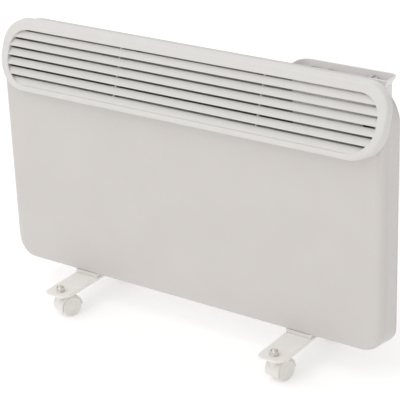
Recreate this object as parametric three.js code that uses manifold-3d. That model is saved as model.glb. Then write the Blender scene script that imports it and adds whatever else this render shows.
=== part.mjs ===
// A free-standing panel convector heater on two castored feet.
// Millimetres, +Z up. The heater faces -Y, and the origin is on the floor under its middle.
import * as THREE from "three";
import { mergeVertices } from "three/addons/utils/BufferGeometryUtils.js";
import Module from "manifold-3d";

const wasm = await Module();
wasm.setup();

// ---- Driving dimensions ----

// Casing
const casingWidth = 750;
const casingHeight = 440;
const casingDepth = 50;
const casingSheet = 1;
const casingTopRadius = 67;
const casingBottomRadius = 40;
const sideRoll = 14; // soft front edge at the two ends
const bottomRoll = 4; // tighter front edge along the bottom
const rearPanDepth = 7.7;
const rearRoll = 7;
const inletRows = [-9, 5]; // air slots in the underside
const inletSlotCount = 8;
const inletSlotPitch = 44;
const inletSlotLength = 36;
const inletSlotWidth = 5;
const ventRises = [30, 42]; // of the air slots low in the back, above the underside
const ventCount = 9;
const ventPitch = 60;
const ventLength = 44;
const ventHeight = 5;
const hookSpacing = 240; // between the keyholes for hanging the heater on a wall
const hookRise = 125; // of the lower keyholes above the underside
const hookDrop = 25; // of the upper keyholes below the top
const hookHoleRadius = 6;
const hookSlotWidth = 6;
const hookSlotHeight = 13;
const rearScrewInset = 23; // from each end of the casing
const rearScrewRise = 55; // of the lower ones above the underside
const rearScrewDrop = 95; // of the upper ones below the top
const rearScrewRadius = 1.9;
const rearScrewLength = 11;
const rearScrewHeadRadius = 4;
const rearScrewHead = 2.2;
const lugWidth = 20;
const lugHeight = 14;
const lugDepth = 12;
const casingNotch = 43; // height above the grille's lower edge where the casing's front stops

// Outlet grille
const grilleTilt = 20; // degrees that the grille leans back
const grilleHeight = 114.5;
const grilleProud = 20.9; // how far its lower edge stands out from the front
const grilleWall = 2.4;
const grilleRoll = 5;
const grilleTopRadius = 50;
const grilleBottomRadius = 57;
const grilleSeat = 14; // depth of the moulding, square to its face
const outletInset = 17; // from each end of the grille to its opening
const outletLow = 12; // measured up the face from its lower edge
const outletHigh = 106;
const outletTopRadius = 44;
const outletBottomRadius = 46;
const outletWallDepth = 9;
const outletWallSheet = 1.7;
const slatCount = 6;
const slatPitch = 15.8;
const slatHeight = 12.4;
const slatThickness = 1.8;
const slatLowEdgeDepth = 0.8;
const slatLean = 5.8; // the upper edge is this much deeper than the lower one
const ribThickness = 1.8;
const ribDepth = 12;
const ribPlaces = [-127, 151];

// Feet
const footSpacing = 438; // between the middles of the two feet
const footLength = 230;
const footWidth = 49;
const footSheet = 2.5;
const footFlange = 5; // full height of the turned-down long edges
const footCornerRadius = 13;
const footHoleRadius = 4.4;
const spacerHeight = 7.1;
const spacerLength = 46;
const spacerWidth = 46;
const footSides = [-1, 1];
const footScrewPlaces = [-12, 12];
const footScrewRadius = 2.5;
const footScrewHeadRadius = 4.6;
const footScrewHead = 2;
const footScrewReach = 6; // how far it stands up inside the casing
const footFlangeSheet = 2;

// Castors
const castorSpacing = 192; // between the two swivel axes of one foot
const wheelRadius = 18;
const wheelWidth = 11.2;
const wheelGap = 7.4; // between the two wheels of a castor
const castorTrail = 13.5;
const castorWeb = 6.4;
const castorWebRadius = 17;
const hoodSheet = 2.6;
const hoodClearance = 0.7;
const hoodWidth = 30.4;
const hoodFrom = 0; // degrees, going up and over from level with the axle and behind it
const hoodTo = 200;
const hoodSteps = 14;
const bossRadius = 7.5;
const bossRise = 5.5; // above the tops of the wheels
const studGrip = 8.5; // length of the stud inside the boss
const studCollarHeight = 2.5;
const studCollarRadius = 6.5;
const axleRadius = 2;
const studRadius = 4;
const studProud = 2; // how far the stud shows above its nut
const studBevel = 0.8;
const wheelDish = 0.8;
const wheelRim = 3.6; // width of the raised rim round the dish
const wheelBevel = 1.2;
const wheelEndWall = 2; // left beyond the axle's blind bore
const nutAcrossFlats = 13;
const nutHeight = 7.6;
const nutFlangeRadius = 7.8;
const nutFlangeEdge = 1; // thickness at the flange's rim
const nutFlangeTop = 2.6; // where the flange's cone meets the hexagon
const frontLeftTurn = -21;
const frontRightTurn = -12;
const rearLeftTurn = 201;
const rearRightTurn = 192;

// Control pod on the back
const podInset = 25.6; // from the right end of the casing
const podWidth = 170.4;
const podDepth = 38;
const podHeight = 150;
const podDrop = 3.8; // from the top of the casing down to the collar's rim
const podWall = 2.2;
const collarFlare = 6; // how far the collar stands out from the box below it
const collarHeight = 14.5;
const collarWall = 2.2;
const collarDraft = 0.6; // least that the recess draws in towards its floor
const collarLedge = 9; // width of the ledge under the fascia
const collarLedgeFront = 5.2;
const collarRise = 7.2; // height over which the collar flares out
const podLeftRadius = 19;
const podRightRadius = 12;
const recessDepth = 10.5;
const fasciaThickness = 2;
const knobPlace = 131; // from the pod's left end, as are the places below
const knobRadius = 12.5;
const knobHeight = 5.5;
const shaftRadius = 3;
const switchPlaces = [29, 59];
const switchWidth = 13;
const switchLength = 19;
const switchBezel = 1.6;
const neonPlace = 88;
const neonRadius = 4;
const neonBrim = 1;
const neonBrimHeight = 0.6;
const neonProud = 1.6;
const neonDrop = 6;
const switchDepth = 14;
const rockerLength = 14.4;
const rockerWidth = 10;
const rockerRadius = 7.6;
const rockerPivotDepth = 3; // below the top of the switch's frame
const rockerThrow = 14; // degrees between off and on
const rockerGap = 0.4;
const rockerRise = 3.6; // height of its two tips above the pivot
const rockerDip = 1; // how far its middle lies below the tips
const pocketMargin = 1.3; // from a rocker's tip to the end of its pocket
const thermostatWidth = 34;
const thermostatDepth = 24;
const thermostatHeight = 22;
const thermostatDrop = 14; // from the fascia down to its box
const thermostatNeck = 5.5;
const thermostatBore = 10; // depth of the shaft's hole below the box's top
const shaftGrip = 2.5; // how far the shaft reaches into the knob
const knobDisc = 3.3; // thickness of the knob's disc, under its grip
const knobGripWidth = 7.2;
const knobGripInset = 0.5;
const terminalWidth = 44;
const terminalDepth = 18;
const terminalHeight = 14;
const terminalPlace = 59; // of its left end
const terminalSetback = 9; // from the casing's back
const terminalRise = 7; // above the pod's underside
const terminalCount = 3;
const terminalWellRadius = 3.8;
const terminalWellDepth = 4;
const terminalWellInset = 5; // from the block's back face
const glandPlace = 26;
const glandRadius = 8;
const glandBore = 4;
const glandFlange = 3;
const glandLength = 9;
const glandBrim = 3;
const glandInside = 4; // how far it reaches above the pod's floor

// Inside
const elementLength = 470;
const elementGap = 44; // from its right end to the baffle
const elementRise = 75; // of its axis above the underside
const elementTubeRadius = 4.2;
const elementCore = 11;
const elementEnd = 28; // its bare length at each end, beyond the fins
const finPitch = 18;
const finThickness = 1.6;
const finDepth = 34;
const finHeight = 30;
const elementY = 0;
const bracketInset = 14; // from each end of the element
const bracketSheet = 1.5;
const bracketHeight = 40;
const bracketReach = 16;
const bracketFoot = 16;
const bushRadius = 7;
const bushFlange = 2.5;
const bushLength = 12;
const bafflePlace = 15; // behind the pod, from the pod's left end
const baffleY = 8;
const baffleSheet = 1.2;
const baffleMargin = 12;
const baffleWindowPlaces = [139, 158]; // of its ends, from the pod's left end
const baffleWindowDrops = [90, 65]; // of its lower and upper edge below the top
const cutoutRise = 175; // above the underside
const cutoutRadius = 6;
const cutoutDepth = 7;
const cutoutFlange = 13; // half its height
const cutoutSheet = 1.4;
const loomRadius = 2.2;
const leadSides = 6;
const loomPlace = 83; // from the pod's left end
const loomRise = 27; // above the pod's underside

const clearance = 0.35; // between neighbouring pieces
const cornerSteps = 6;
const rollSteps = 3;

// ---- Places that follow from these sizes ----

const bossTop = 2 * wheelRadius + bossRise;
const studLow = bossTop - studGrip;
const footLow = bossTop + studCollarHeight + 2 * clearance;
const footTop = footLow + footSheet;
const casingBottom = footTop + spacerHeight + 2 * clearance;
const casingTop = casingBottom + casingHeight;
const casingHalf = casingWidth / 2;
const frontY = -casingDepth / 2;
const backY = casingDepth / 2;
const hookHeights = [casingBottom + hookRise, casingTop - hookDrop];
const hookPlaces = hookHeights.flatMap((z) => [[-hookSpacing / 2, z], [hookSpacing / 2, z]]);
const rearScrewX = casingHalf - rearScrewInset;
const rearScrewHeights = [casingBottom + rearScrewRise, casingTop - rearScrewDrop];
const rearScrewPlaces = rearScrewHeights.flatMap((z) => [[-rearScrewX, z], [rearScrewX, z]]);
const outletHalfLength = casingHalf - outletInset;
const podRight = casingHalf - podInset;
const podLeft = podRight - podWidth;
const podFront = backY + clearance;
const podBack = backY + podDepth;
const podMiddle = (podFront + podBack) / 2;
const podBottom = casingTop - podHeight;
const podTop = casingTop - podDrop;
const knobX = podLeft + knobPlace;
const switchesX = switchPlaces.map((place) => podLeft + place);
const neonX = podLeft + neonPlace;
const glandX = podLeft + glandPlace;
const baffleX = podLeft + bafflePlace;
const elementRight = baffleX - elementGap;
const elementMiddle = elementRight - elementLength / 2;
const elementLeft = elementRight - elementLength;
const elementHeight = casingBottom + elementRise;
const finCount = Math.floor((elementLength - 2 * elementEnd) / finPitch) + 1;
const loomX = podLeft + loomPlace;
const loomZ = podBottom + loomRise;

// ---- Shapes ----

const radians = Math.PI / 180;

// Points with outward normals round a rounded rectangle, counter-clockwise from its lower right corner.
function roundedOutline(left, right, low, high, radii, steps = cornerSteps) {
  const corners = [
    { x: right - radii.lowRight, y: low + radii.lowRight, r: radii.lowRight, from: -90 },
    { x: right - radii.highRight, y: high - radii.highRight, r: radii.highRight, from: 0 },
    { x: left + radii.highLeft, y: high - radii.highLeft, r: radii.highLeft, from: 90 },
    { x: left + radii.lowLeft, y: low + radii.lowLeft, r: radii.lowLeft, from: 180 },
  ];
  const points = [];
  for (const corner of corners) {
    for (let i = 0; i <= steps; i++) {
      const angle = (corner.from + (90 * i) / steps) * radians;
      const nx = Math.cos(angle);
      const ny = Math.sin(angle);
      points.push({ x: corner.x + corner.r * nx, y: corner.y + corner.r * ny, nx, ny });
    }
  }
  return points;
}

function evenRadii(top, bottom = top) {
  return { highLeft: top, highRight: top, lowLeft: bottom, lowRight: bottom };
}

// A closed solid through rings of equally many points. An open stack gets flat ends; a closed one
// joins its last ring to its first.
function loft(rings, closed = false) {
  const count = rings[0].length;
  const index = [];
  const last = rings.length - 1;
  for (let k = 0; k < (closed ? rings.length : last); k++) {
    const next = (k + 1) % rings.length;
    for (let i = 0; i < count; i++) {
      const j = (i + 1) % count;
      index.push(k * count + i, k * count + j, next * count + j);
      index.push(k * count + i, next * count + j, next * count + i);
    }
  }
  for (let i = 1; !closed && i + 1 < count; i++) {
    index.push(0, i + 1, i);
    index.push(last * count, last * count + i, last * count + i + 1);
  }
  const geometry = new THREE.BufferGeometry();
  geometry.setAttribute("position", new THREE.Float32BufferAttribute(rings.flat(2), 3));
  geometry.setIndex(index);
  return solid(geometry);
}

// A geometry as a solid that can be joined and cut, without the triangles that have no area.
function solid(geometry) {
  const bare = geometry.clone();
  bare.deleteAttribute("normal");
  bare.deleteAttribute("uv");
  const merged = mergeVertices(bare, 1e-4);
  const corners = merged.index.array;
  const kept = [];
  for (let i = 0; i < corners.length; i += 3) {
    const [a, b, c] = corners.slice(i, i + 3);
    if (a !== b && b !== c && c !== a) kept.push(a, b, c);
  }
  return new wasm.Manifold(
    new wasm.Mesh({
      numProp: 3,
      vertProperties: new Float32Array(merged.attributes.position.array),
      triVerts: new Uint32Array(kept),
    }),
  );
}

function block(x0, x1, y0, y1, z0, z1) {
  const geometry = new THREE.BoxGeometry(x1 - x0, y1 - y0, z1 - z0);
  geometry.translate((x0 + x1) / 2, (y0 + y1) / 2, (z0 + z1) / 2);
  return solid(geometry);
}

// A cylinder along an axis, centred on the other two coordinates.
function rod(axis, radius, from, to, centre = [0, 0], sides = 20) {
  const geometry = new THREE.CylinderGeometry(radius, radius, to - from, sides);
  if (axis === "x") {
    geometry.rotateZ(-90 * radians);
    geometry.translate((from + to) / 2, centre[0], centre[1]);
  }
  if (axis === "y") geometry.translate(centre[0], (from + to) / 2, centre[1]);
  if (axis === "z") {
    geometry.rotateX(90 * radians);
    geometry.translate(centre[0], centre[1], (from + to) / 2);
  }
  return solid(geometry);
}

// A flat outline extruded upwards from z0 to z1.
function slab(points, z0, z1) {
  const shape = new THREE.Shape(points.map((p) => new THREE.Vector2(p.x, p.y)));
  const geometry = new THREE.ExtrudeGeometry(shape, { depth: z1 - z0, bevelEnabled: false });
  geometry.translate(0, 0, z0);
  return solid(geometry);
}

// An outline in the YZ plane, given as [y, z] pairs, extruded along X.
function sidePrism(pairs, x0, x1) {
  const shape = new THREE.Shape(pairs.map(([y, z]) => new THREE.Vector2(y, z)));
  const geometry = new THREE.ExtrudeGeometry(shape, { depth: x1 - x0, bevelEnabled: false });
  const toX = new THREE.Matrix4().makeBasis(
    new THREE.Vector3(0, 1, 0),
    new THREE.Vector3(0, 0, 1),
    new THREE.Vector3(1, 0, 0),
  );
  geometry.applyMatrix4(toX);
  geometry.translate(x0, 0, 0);
  return solid(geometry);
}

// A turned solid: a closed profile of [radius, distance along the axis] pairs round an axis.
function turned(profile, sides, axis, place) {
  const points = [...profile, profile[0]].map(([r, along]) => new THREE.Vector2(r, along));
  const geometry = new THREE.LatheGeometry(points, sides);
  if (axis === "x") geometry.rotateZ(-90 * radians);
  if (axis === "z") geometry.rotateX(90 * radians);
  geometry.translate(...place);
  return solid(geometry);
}

function join(parts) {
  return parts.reduce((whole, part) => whole.add(part));
}

function cut(whole, parts) {
  return parts.reduce((rest, part) => rest.subtract(part), whole);
}

function geometryOf(made) {
  const mesh = made.getMesh();
  const geometry = new THREE.BufferGeometry();
  geometry.setAttribute("position", new THREE.BufferAttribute(mesh.vertProperties, 3));
  geometry.setIndex(new THREE.BufferAttribute(mesh.triVerts, 1));
  geometry.computeVertexNormals();
  return geometry;
}

const heater = new THREE.Group();

function add(name, made, material, parent = heater) {
  const mesh = new THREE.Mesh(geometryOf(made), material);
  mesh.name = name;
  parent.add(mesh);
  return mesh;
}

// ---- Materials ----

const finish = (color, roughness, metalness) =>
  new THREE.MeshStandardMaterial({ color, roughness, metalness });
const whitePaint = finish(0xe6e2dc, 0.45, 0);
const whiteMoulding = finish(0xebe8e3, 0.4, 0);
const greyMoulding = finish(0xcfcac6, 0.5, 0);
const darkMoulding = finish(0x3a3a3c, 0.5, 0);
const castorPlastic = finish(0xe2ded8, 0.45, 0);
const zinc = finish(0xb4aca4, 0.35, 0.9);
const steel = finish(0x9a9a9a, 0.4, 0.9);
const aluminium = finish(0xb8b8b8, 0.4, 0.9);
const ceramic = finish(0xe8e0d0, 0.6, 0);
const amberLens = finish(0xd86020, 0.2, 0);
const leadSleeve = finish(0xb0552c, 0.6, 0);

// ---- Casing and grille ----

// The grille face is a plane that leans back. Its own frame has X along the heater, Y up the face
// from the moulding's lower edge, and Z out of the face.
const tilt = grilleTilt * radians;
const grilleLow = casingTop - grilleHeight;
const faceLowY = frontY - grilleProud;
const faceY = (z) => faceLowY + (z - grilleLow) * Math.tan(tilt);
const seatY = (z) => faceY(z) + grilleSeat / Math.cos(tilt);
const faceFrame = new THREE.Matrix4().makeBasis(
  new THREE.Vector3(1, 0, 0),
  new THREE.Vector3(0, Math.sin(tilt), Math.cos(tilt)),
  new THREE.Vector3(0, -Math.cos(tilt), Math.sin(tilt)),
);
faceFrame.setPosition(0, faceLowY, grilleLow);

function onFace(made) {
  const geometry = geometryOf(made);
  geometry.deleteAttribute("normal");
  geometry.applyMatrix4(faceFrame);
  return solid(geometry);
}

// Rings that roll from the side walls of an outline over to a front plane, rear ring first.
function rollOver(outline, planeY, lean, rollAt) {
  const rings = [];
  for (let k = 0; k <= rollSteps; k++) {
    const ring = outline.map((p) => {
      const roll = rollAt(p);
      const wall = new THREE.Vector3(p.nx, 0, p.ny);
      const front = new THREE.Vector3(0, -Math.cos(lean), Math.sin(lean));
      const sweep = wall.angleTo(front);
      const x = p.x - roll * p.nx;
      const z = p.y - roll * p.ny;
      const y = planeY(z) + roll / Math.cos(lean);
      const a = Math.sin(((rollSteps - k) / rollSteps) * sweep) / Math.sin(sweep);
      const b = Math.sin((k / rollSteps) * sweep) / Math.sin(sweep);
      return [
        x + roll * (a * wall.x + b * front.x),
        y + roll * b * front.y,
        z + roll * (a * wall.z + b * front.z),
      ];
    });
    rings.push(ring);
  }
  return rings;
}

const ringAt = (outline, y) => outline.map((p) => [p.x, typeof y === "function" ? y(p.y) : y, p.y]);

function casingOutline(inset) {
  const half = casingHalf - inset;
  const radii = evenRadii(casingTopRadius - inset, casingBottomRadius - inset);
  return roundedOutline(-half, half, casingBottom + inset, casingTop - inset, radii);
}

const casingRearEdge = backY - rearPanDepth - clearance;

// The casing's outer shape, or its hollow when inset by the sheet.
function casingBody(inset, rear) {
  const outline = casingOutline(inset);
  const rollAt = (p) => bottomRoll + (sideRoll - bottomRoll) * p.nx * p.nx - inset;
  const rings = rollOver(outline, () => frontY + inset, 0, rollAt);
  return loft([ringAt(outline, rear), ...rings]);
}

// The grille moulding's outer shape, from its face back past its seat on the casing. Its end
// corners are tight on the face and open out to the casing's own radius at the seat.
function grilleBody(inset, rear) {
  const half = casingHalf - inset;
  const low = grilleLow + inset;
  const high = casingTop - inset;
  const faceRadii = evenRadii(grilleTopRadius - inset, grilleBottomRadius - inset);
  const seatLowRadius = Math.min(grilleBottomRadius, grilleHeight - casingTopRadius);
  const seatRadii = evenRadii(casingTopRadius - inset, seatLowRadius - inset);
  const onSeat = roundedOutline(-half, half, low, high, seatRadii);
  const atFace = roundedOutline(-half, half, low, high, faceRadii);
  const plane = (z) => faceY(z) + inset / Math.cos(tilt);
  const rings = rollOver(atFace, plane, tilt, () => grilleRoll - inset);
  const seat = (z) => Math.max(seatY(z), frontY - clearance);
  return loft([ringAt(onSeat, rear), ringAt(onSeat, seat), ...rings]);
}

// Everything in front of the surface where the grille sits, moved back by a gap.
function inFrontOfSeat(gap) {
  const stepZ = grilleLow + (frontY - gap - seatY(grilleLow)) / Math.tan(tilt);
  const front = frontY - clearance + gap;
  const topZ = casingTop + grilleHeight;
  const pairs = [
    [faceLowY - grilleHeight, casingBottom],
    [front, casingBottom],
    [front, stepZ],
    [seatY(topZ) + gap, topZ],
    [faceLowY - grilleHeight, topZ],
  ];
  return sidePrism(pairs, -casingWidth, casingWidth);
}

// The slats in the frame of the grille face, each leaning in towards its upper edge.
function grilleSlats() {
  const slats = [];
  for (let i = 0; i < slatCount; i++) {
    const low = outletLow + i * slatPitch;
    const high = low + slatHeight;
    const pairs = [
      [low, -slatLowEdgeDepth],
      [low, -slatLowEdgeDepth - slatThickness],
      [high - slatThickness / 2, -slatLowEdgeDepth - slatLean - slatThickness],
      [high, -slatLowEdgeDepth - slatLean],
    ];
    slats.push(sidePrism(pairs, -casingHalf, casingHalf));
  }
  return slats;
}

// The opening of the outlet, in the frame of the grille face.
function outletOutline(inset) {
  const half = outletHalfLength - inset;
  const radii = evenRadii(outletTopRadius - inset, outletBottomRadius - inset);
  return roundedOutline(-half, half, outletLow + inset, outletHigh - inset, radii);
}

function outletGrille() {
  const hollow = grilleBody(grilleWall, backY + 1);
  const shell = grilleBody(0, backY).subtract(hollow).intersect(inFrontOfSeat(0));
  const opening = slab(outletOutline(0), -outletWallDepth - 1, grilleRoll);
  const wall = slab(outletOutline(-outletWallSheet), -outletWallDepth, -grilleWall / 2).subtract(opening);
  const reach = slab(outletOutline(-outletWallSheet / 2), -ribDepth - 1, 0);
  const ribs = ribPlaces.map((x) => {
    const half = ribThickness / 2;
    return block(x - half, x + half, outletLow, outletHigh, -ribDepth, -slatLean).intersect(reach);
  });
  const insert = join([wall, join(grilleSlats()).intersect(reach), ...ribs]);
  return shell.subtract(onFace(opening)).add(onFace(insert));
}

// Slots of one size in a row along X, cut right through in Y or Z.
function slotRow(count, pitch, middleX, length, y, z) {
  const slots = [];
  for (let i = 0; i < count; i++) {
    const x = middleX + (i - (count - 1) / 2) * pitch;
    slots.push(block(x - length / 2, x + length / 2, y[0], y[1], z[0], z[1]));
  }
  return slots;
}

function frontCasing() {
  const rear = casingRearEdge;
  const shell = casingBody(0, rear).subtract(casingBody(casingSheet, rear + casingDepth));
  const inFront = inFrontOfSeat(clearance);
  const seat = grilleBody(-clearance, backY).intersect(inFront);
  const above = [grilleLow + casingNotch, casingTop * 2];
  const notch = block(-casingWidth, casingWidth, frontY - casingDepth, backY, ...above).intersect(inFront);
  const underside = [casingBottom - casingSheet, casingBottom + casingSheet * 2];
  const inlets = inletRows.flatMap((y) => {
    const span = [y - inletSlotWidth / 2, y + inletSlotWidth / 2];
    return slotRow(inletSlotCount, inletSlotPitch, 0, inletSlotLength, span, underside);
  });
  const holes = footSides.flatMap((side) =>
    footScrewPlaces.map((x) => {
      const centre = [(side * footSpacing) / 2 + x, 0];
      return rod("z", footScrewRadius + clearance, ...underside, centre, 12);
    }),
  );
  const opened = cut(shell, [seat, notch, ...inlets, ...holes]);
  return cut(join([opened, ...rearScrewPlaces.map(rearLug)]), rearScrewPlaces.map(rearScrewHole));
}

function rearScrewHole([x, z]) {
  const tip = backY - rearScrewLength - clearance;
  return rod("y", rearScrewRadius + clearance, tip, backY + casingSheet, [x, z], 12);
}

// A lug inside the end wall that a rear screw bites into.
function rearLug([x, z]) {
  const side = Math.sign(x);
  const back = backY - casingSheet - clearance;
  const inner = Math.abs(x) - lugWidth / 2;
  const wall = casingHalf - casingSheet / 2;
  const clear = casingHalf - casingSheet - rearRoll;
  const low = z - lugHeight / 2;
  const high = z + lugHeight / 2;
  const onWall = [side * inner, side * wall].sort((a, b) => a - b);
  const behind = [side * inner, side * clear].sort((a, b) => a - b);
  return block(...onWall, back - lugDepth, casingRearEdge, low, high).add(
    block(...behind, back - lugDepth, back, low, high),
  );
}

function rearPanel() {
  const rollBack = (inset) =>
    rollOver(casingOutline(inset), () => -backY + inset, 0, () => rearRoll - inset)
      .map((ring) => ring.map(([x, y, z]) => [x, -y, z]))
      .reverse();
  const front = casingRearEdge + clearance;
  const outer = loft([...rollBack(0), ringAt(casingOutline(0), front)]);
  const hollow = loft([...rollBack(casingSheet), ringAt(casingOutline(casingSheet), front - casingDepth)]);
  const through = [backY - casingSheet * 2, backY + casingSheet];
  const vents = ventRises.flatMap((rise) => {
    const z = casingBottom + rise;
    return slotRow(ventCount, ventPitch, 0, ventLength, through, [z - ventHeight / 2, z + ventHeight / 2]);
  });
  const hooks = hookPlaces.flatMap(([x, z]) => [
    rod("y", hookHoleRadius, ...through, [x, z], 16),
    block(x - hookSlotWidth / 2, x + hookSlotWidth / 2, ...through, z, z + hookSlotHeight),
  ]);
  const loomHole = rod("y", loomRadius * 2, ...through, [loomX, loomZ], 16);
  const screws = rearScrewPlaces.map(rearScrewHole);
  return cut(outer.subtract(hollow), [...vents, ...hooks, loomHole, ...screws]);
}

function rearScrew([x, z]) {
  const seat = backY + clearance;
  const shank = rod("y", rearScrewRadius, backY - rearScrewLength, seat + rearScrewHead / 2, [x, z], 12);
  return shank.add(rod("y", rearScrewHeadRadius, seat, seat + rearScrewHead, [x, z], 16));
}

add("front_casing", frontCasing(), whitePaint);
add("outlet_grille", outletGrille(), whiteMoulding);
add("rear_panel", rearPanel(), whitePaint);
rearScrewPlaces.forEach((place, i) => add(`rear_screw_${i + 1}`, rearScrew(place), zinc));

// ---- Heating element and wiring end ----

const elementAxis = [elementY, elementHeight];
const insideBack = backY - casingSheet - clearance;

// Fins along a square core, with a round sheathed end at each side.
function heatingElement() {
  const half = ((finCount - 1) * finPitch) / 2;
  const thick = elementCore / 2;
  const round = [elementY - thick, elementY + thick, elementHeight - thick, elementHeight + thick];
  const core = block(elementMiddle - half, elementMiddle + half, ...round);
  const ends = [
    rod("x", elementTubeRadius, elementLeft, elementMiddle - half + 1, elementAxis, 16),
    rod("x", elementTubeRadius, elementMiddle + half - 1, elementRight, elementAxis, 16),
  ];
  const fins = [];
  for (let i = 0; i < finCount; i++) {
    const x = elementMiddle + (i - (finCount - 1) / 2) * finPitch;
    const deep = [elementY - finDepth / 2, elementY + finDepth / 2];
    const high = [elementHeight - finHeight / 2, elementHeight + finHeight / 2];
    fins.push(block(x - finThickness / 2, x + finThickness / 2, ...deep, ...high));
  }
  return join([core, ...ends, ...fins]);
}

// A bent bracket: a foot on the rear panel and an arm that reaches forward round the element.
function elementBracket(x, turn) {
  const low = elementHeight - bracketHeight / 2;
  const high = elementHeight + bracketHeight / 2;
  const near = x - bracketSheet / 2;
  const far = x + bracketSheet / 2;
  const arm = block(near, far, elementY - bracketReach, insideBack, low, high);
  const side = [Math.min(near, x + turn * bracketFoot), Math.max(far, x + turn * bracketFoot)];
  const foot = block(...side, insideBack - bracketSheet, insideBack, low, high);
  const hole = rod("x", bushRadius + clearance, x - bracketSheet, x + bracketSheet, elementAxis, 16);
  return arm.add(foot).subtract(hole);
}

// A grooved ceramic bush that carries the element through its bracket.
function elementBush(x) {
  const half = bushLength / 2;
  const bore = elementTubeRadius + clearance;
  const groove = bracketSheet / 2 + clearance;
  const rim = bushRadius + bushFlange;
  const profile = [
    [bore, -half],
    [rim, -half],
    [rim, -groove],
    [bushRadius, -groove],
    [bushRadius, groove],
    [rim, groove],
    [rim, half],
    [bore, half],
  ];
  return turned(profile, 16, "x", [x, elementY, elementHeight]);
}

// The bright sheet that closes off the wiring end: a wall across the casing and a front plate
// that shows through the end of the grille.
function compartmentBaffle() {
  const outline = casingOutline(baffleMargin);
  const inside = loft([ringAt(outline, backY), ringAt(outline, frontY)]);
  const tall = [casingBottom, casingTop];
  const wall = block(baffleX, baffleX + baffleSheet, baffleY, insideBack, ...tall);
  const plate = block(baffleX, casingHalf, baffleY, baffleY + baffleSheet, ...tall);
  const windowX = baffleWindowPlaces.map((place) => podLeft + place);
  const windowZ = baffleWindowDrops.map((drop) => casingTop - drop);
  const window = block(...windowX, baffleY - 1, baffleY + baffleSheet + 1, ...windowZ);
  const loomPass = [loomPassY, loomPassZ];
  const loomHole = rod("x", loomRadius * 2, baffleX - 1, baffleX + baffleSheet + 1, loomPass, 12);
  return cut(wall.add(plate).intersect(inside), [window, loomHole]);
}

// A snap-disc switch on the baffle, in the warm air above the element.
function thermalCutout() {
  const y = (baffleY + baffleSheet + insideBack) / 2;
  const face = baffleX - clearance;
  const height = casingBottom + cutoutRise;
  const high = [height - cutoutFlange, height + cutoutFlange];
  const flange = block(face - cutoutSheet, face, y - cutoutRadius, y + cutoutRadius, ...high);
  const can = rod("x", cutoutRadius, face - cutoutDepth, face - cutoutSheet / 2, [y, height], 20);
  return can.add(flange);
}

// A round lead along a smooth curve through points.
function lead(points, radius, steps) {
  const shape = new THREE.Shape();
  for (let i = 0; i < leadSides; i++) {
    const angle = (i / leadSides) * 2 * Math.PI;
    const corner = [radius * Math.cos(angle), radius * Math.sin(angle)];
    if (i === 0) shape.moveTo(...corner);
    else shape.lineTo(...corner);
  }
  const route = points.map((p) => new THREE.Vector3(...p));
  const curve = new THREE.CatmullRomCurve3(route, false, "centripetal");
  return solid(new THREE.ExtrudeGeometry(shape, { extrudePath: curve, steps, bevelEnabled: false }));
}

const loomPassY = (baffleY + baffleSheet + insideBack) / 2;
const loomPassZ = elementHeight + 30;
const terminalTop = podBottom + terminalRise + terminalHeight;
const loomRoute = [
  [elementRight + clearance, elementY, elementHeight],
  [elementRight + 12, elementY, elementHeight],
  [elementRight + 26, elementY + 8, elementHeight + 16],
  [baffleX - 8, loomPassY, loomPassZ],
  [baffleX + 10, loomPassY, loomPassZ + 2],
  [baffleX + 26, loomPassY, loomPassZ + 24],
  [baffleX + 50, loomPassY, loomZ - 60],
  [loomX, loomPassY, loomZ - 16],
  [loomX, backY - 3, loomZ],
  [loomX, backY + 4, loomZ + 1],
  [loomX, backY + 14, loomZ + 2],
  [loomX, backY + 18, terminalTop + 4],
  [loomX, backY + 18, terminalTop + clearance],
];

add("heating_element", heatingElement(), aluminium);
add("element_bracket_left", elementBracket(elementLeft + bracketInset, -1), steel);
add("element_bracket_right", elementBracket(elementRight - bracketInset, 1), steel);
add("element_bush_left", elementBush(elementLeft + bracketInset), ceramic);
add("element_bush_right", elementBush(elementRight - bracketInset), ceramic);
add("compartment_baffle", compartmentBaffle(), aluminium);
add("thermal_cutout", thermalCutout(), darkMoulding);
add("element_lead", lead(loomRoute, loomRadius, 40), leadSleeve);

// ---- Control pod ----

const collarLow = podTop - collarHeight;
const collarFloor = podTop - recessDepth - fasciaThickness - clearance;
const fasciaTop = podTop - recessDepth;
const fasciaLow = fasciaTop - fasciaThickness;
const flareAtFloor = collarFlare * (1 - (collarFloor - collarLow) / collarRise);
const recessInset = collarWall + Math.max(collarDraft, flareAtFloor); // follows the flare outside it
const recessFrontInset = collarWall + collarDraft;

// The pod's outline seen from above, drawn in by an inset; its front can stay against the casing.
function podOutline(inset, frontInset = inset) {
  const left = Math.max(podLeftRadius - inset, 2);
  const right = Math.max(podRightRadius - inset, 2);
  const radii = { lowLeft: 1, lowRight: 1, highLeft: left, highRight: right };
  return roundedOutline(podLeft + inset, podRight - inset, podFront + frontInset, podBack - inset, radii);
}

const podRing = (inset, frontInset, z) => podOutline(inset, frontInset).map((p) => [p.x, p.y, z]);

function podHousing() {
  const high = collarLow - clearance;
  const outer = loft([podRing(collarFlare, 0, podBottom), podRing(collarFlare, 0, high)]);
  const inset = collarFlare + podWall;
  const hollow = loft([podRing(inset, podWall, podBottom + podWall), podRing(inset, podWall, casingTop)]);
  const gland = rod("z", glandRadius, podBottom - 1, podBottom + podWall + 1, [glandX, podMiddle], 20);
  const loomHole = rod("y", loomRadius * 2, podFront - 1, podFront + podWall + 1, [loomX, loomZ], 16);
  return cut(outer, [hollow, gland, loomHole]);
}

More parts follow.
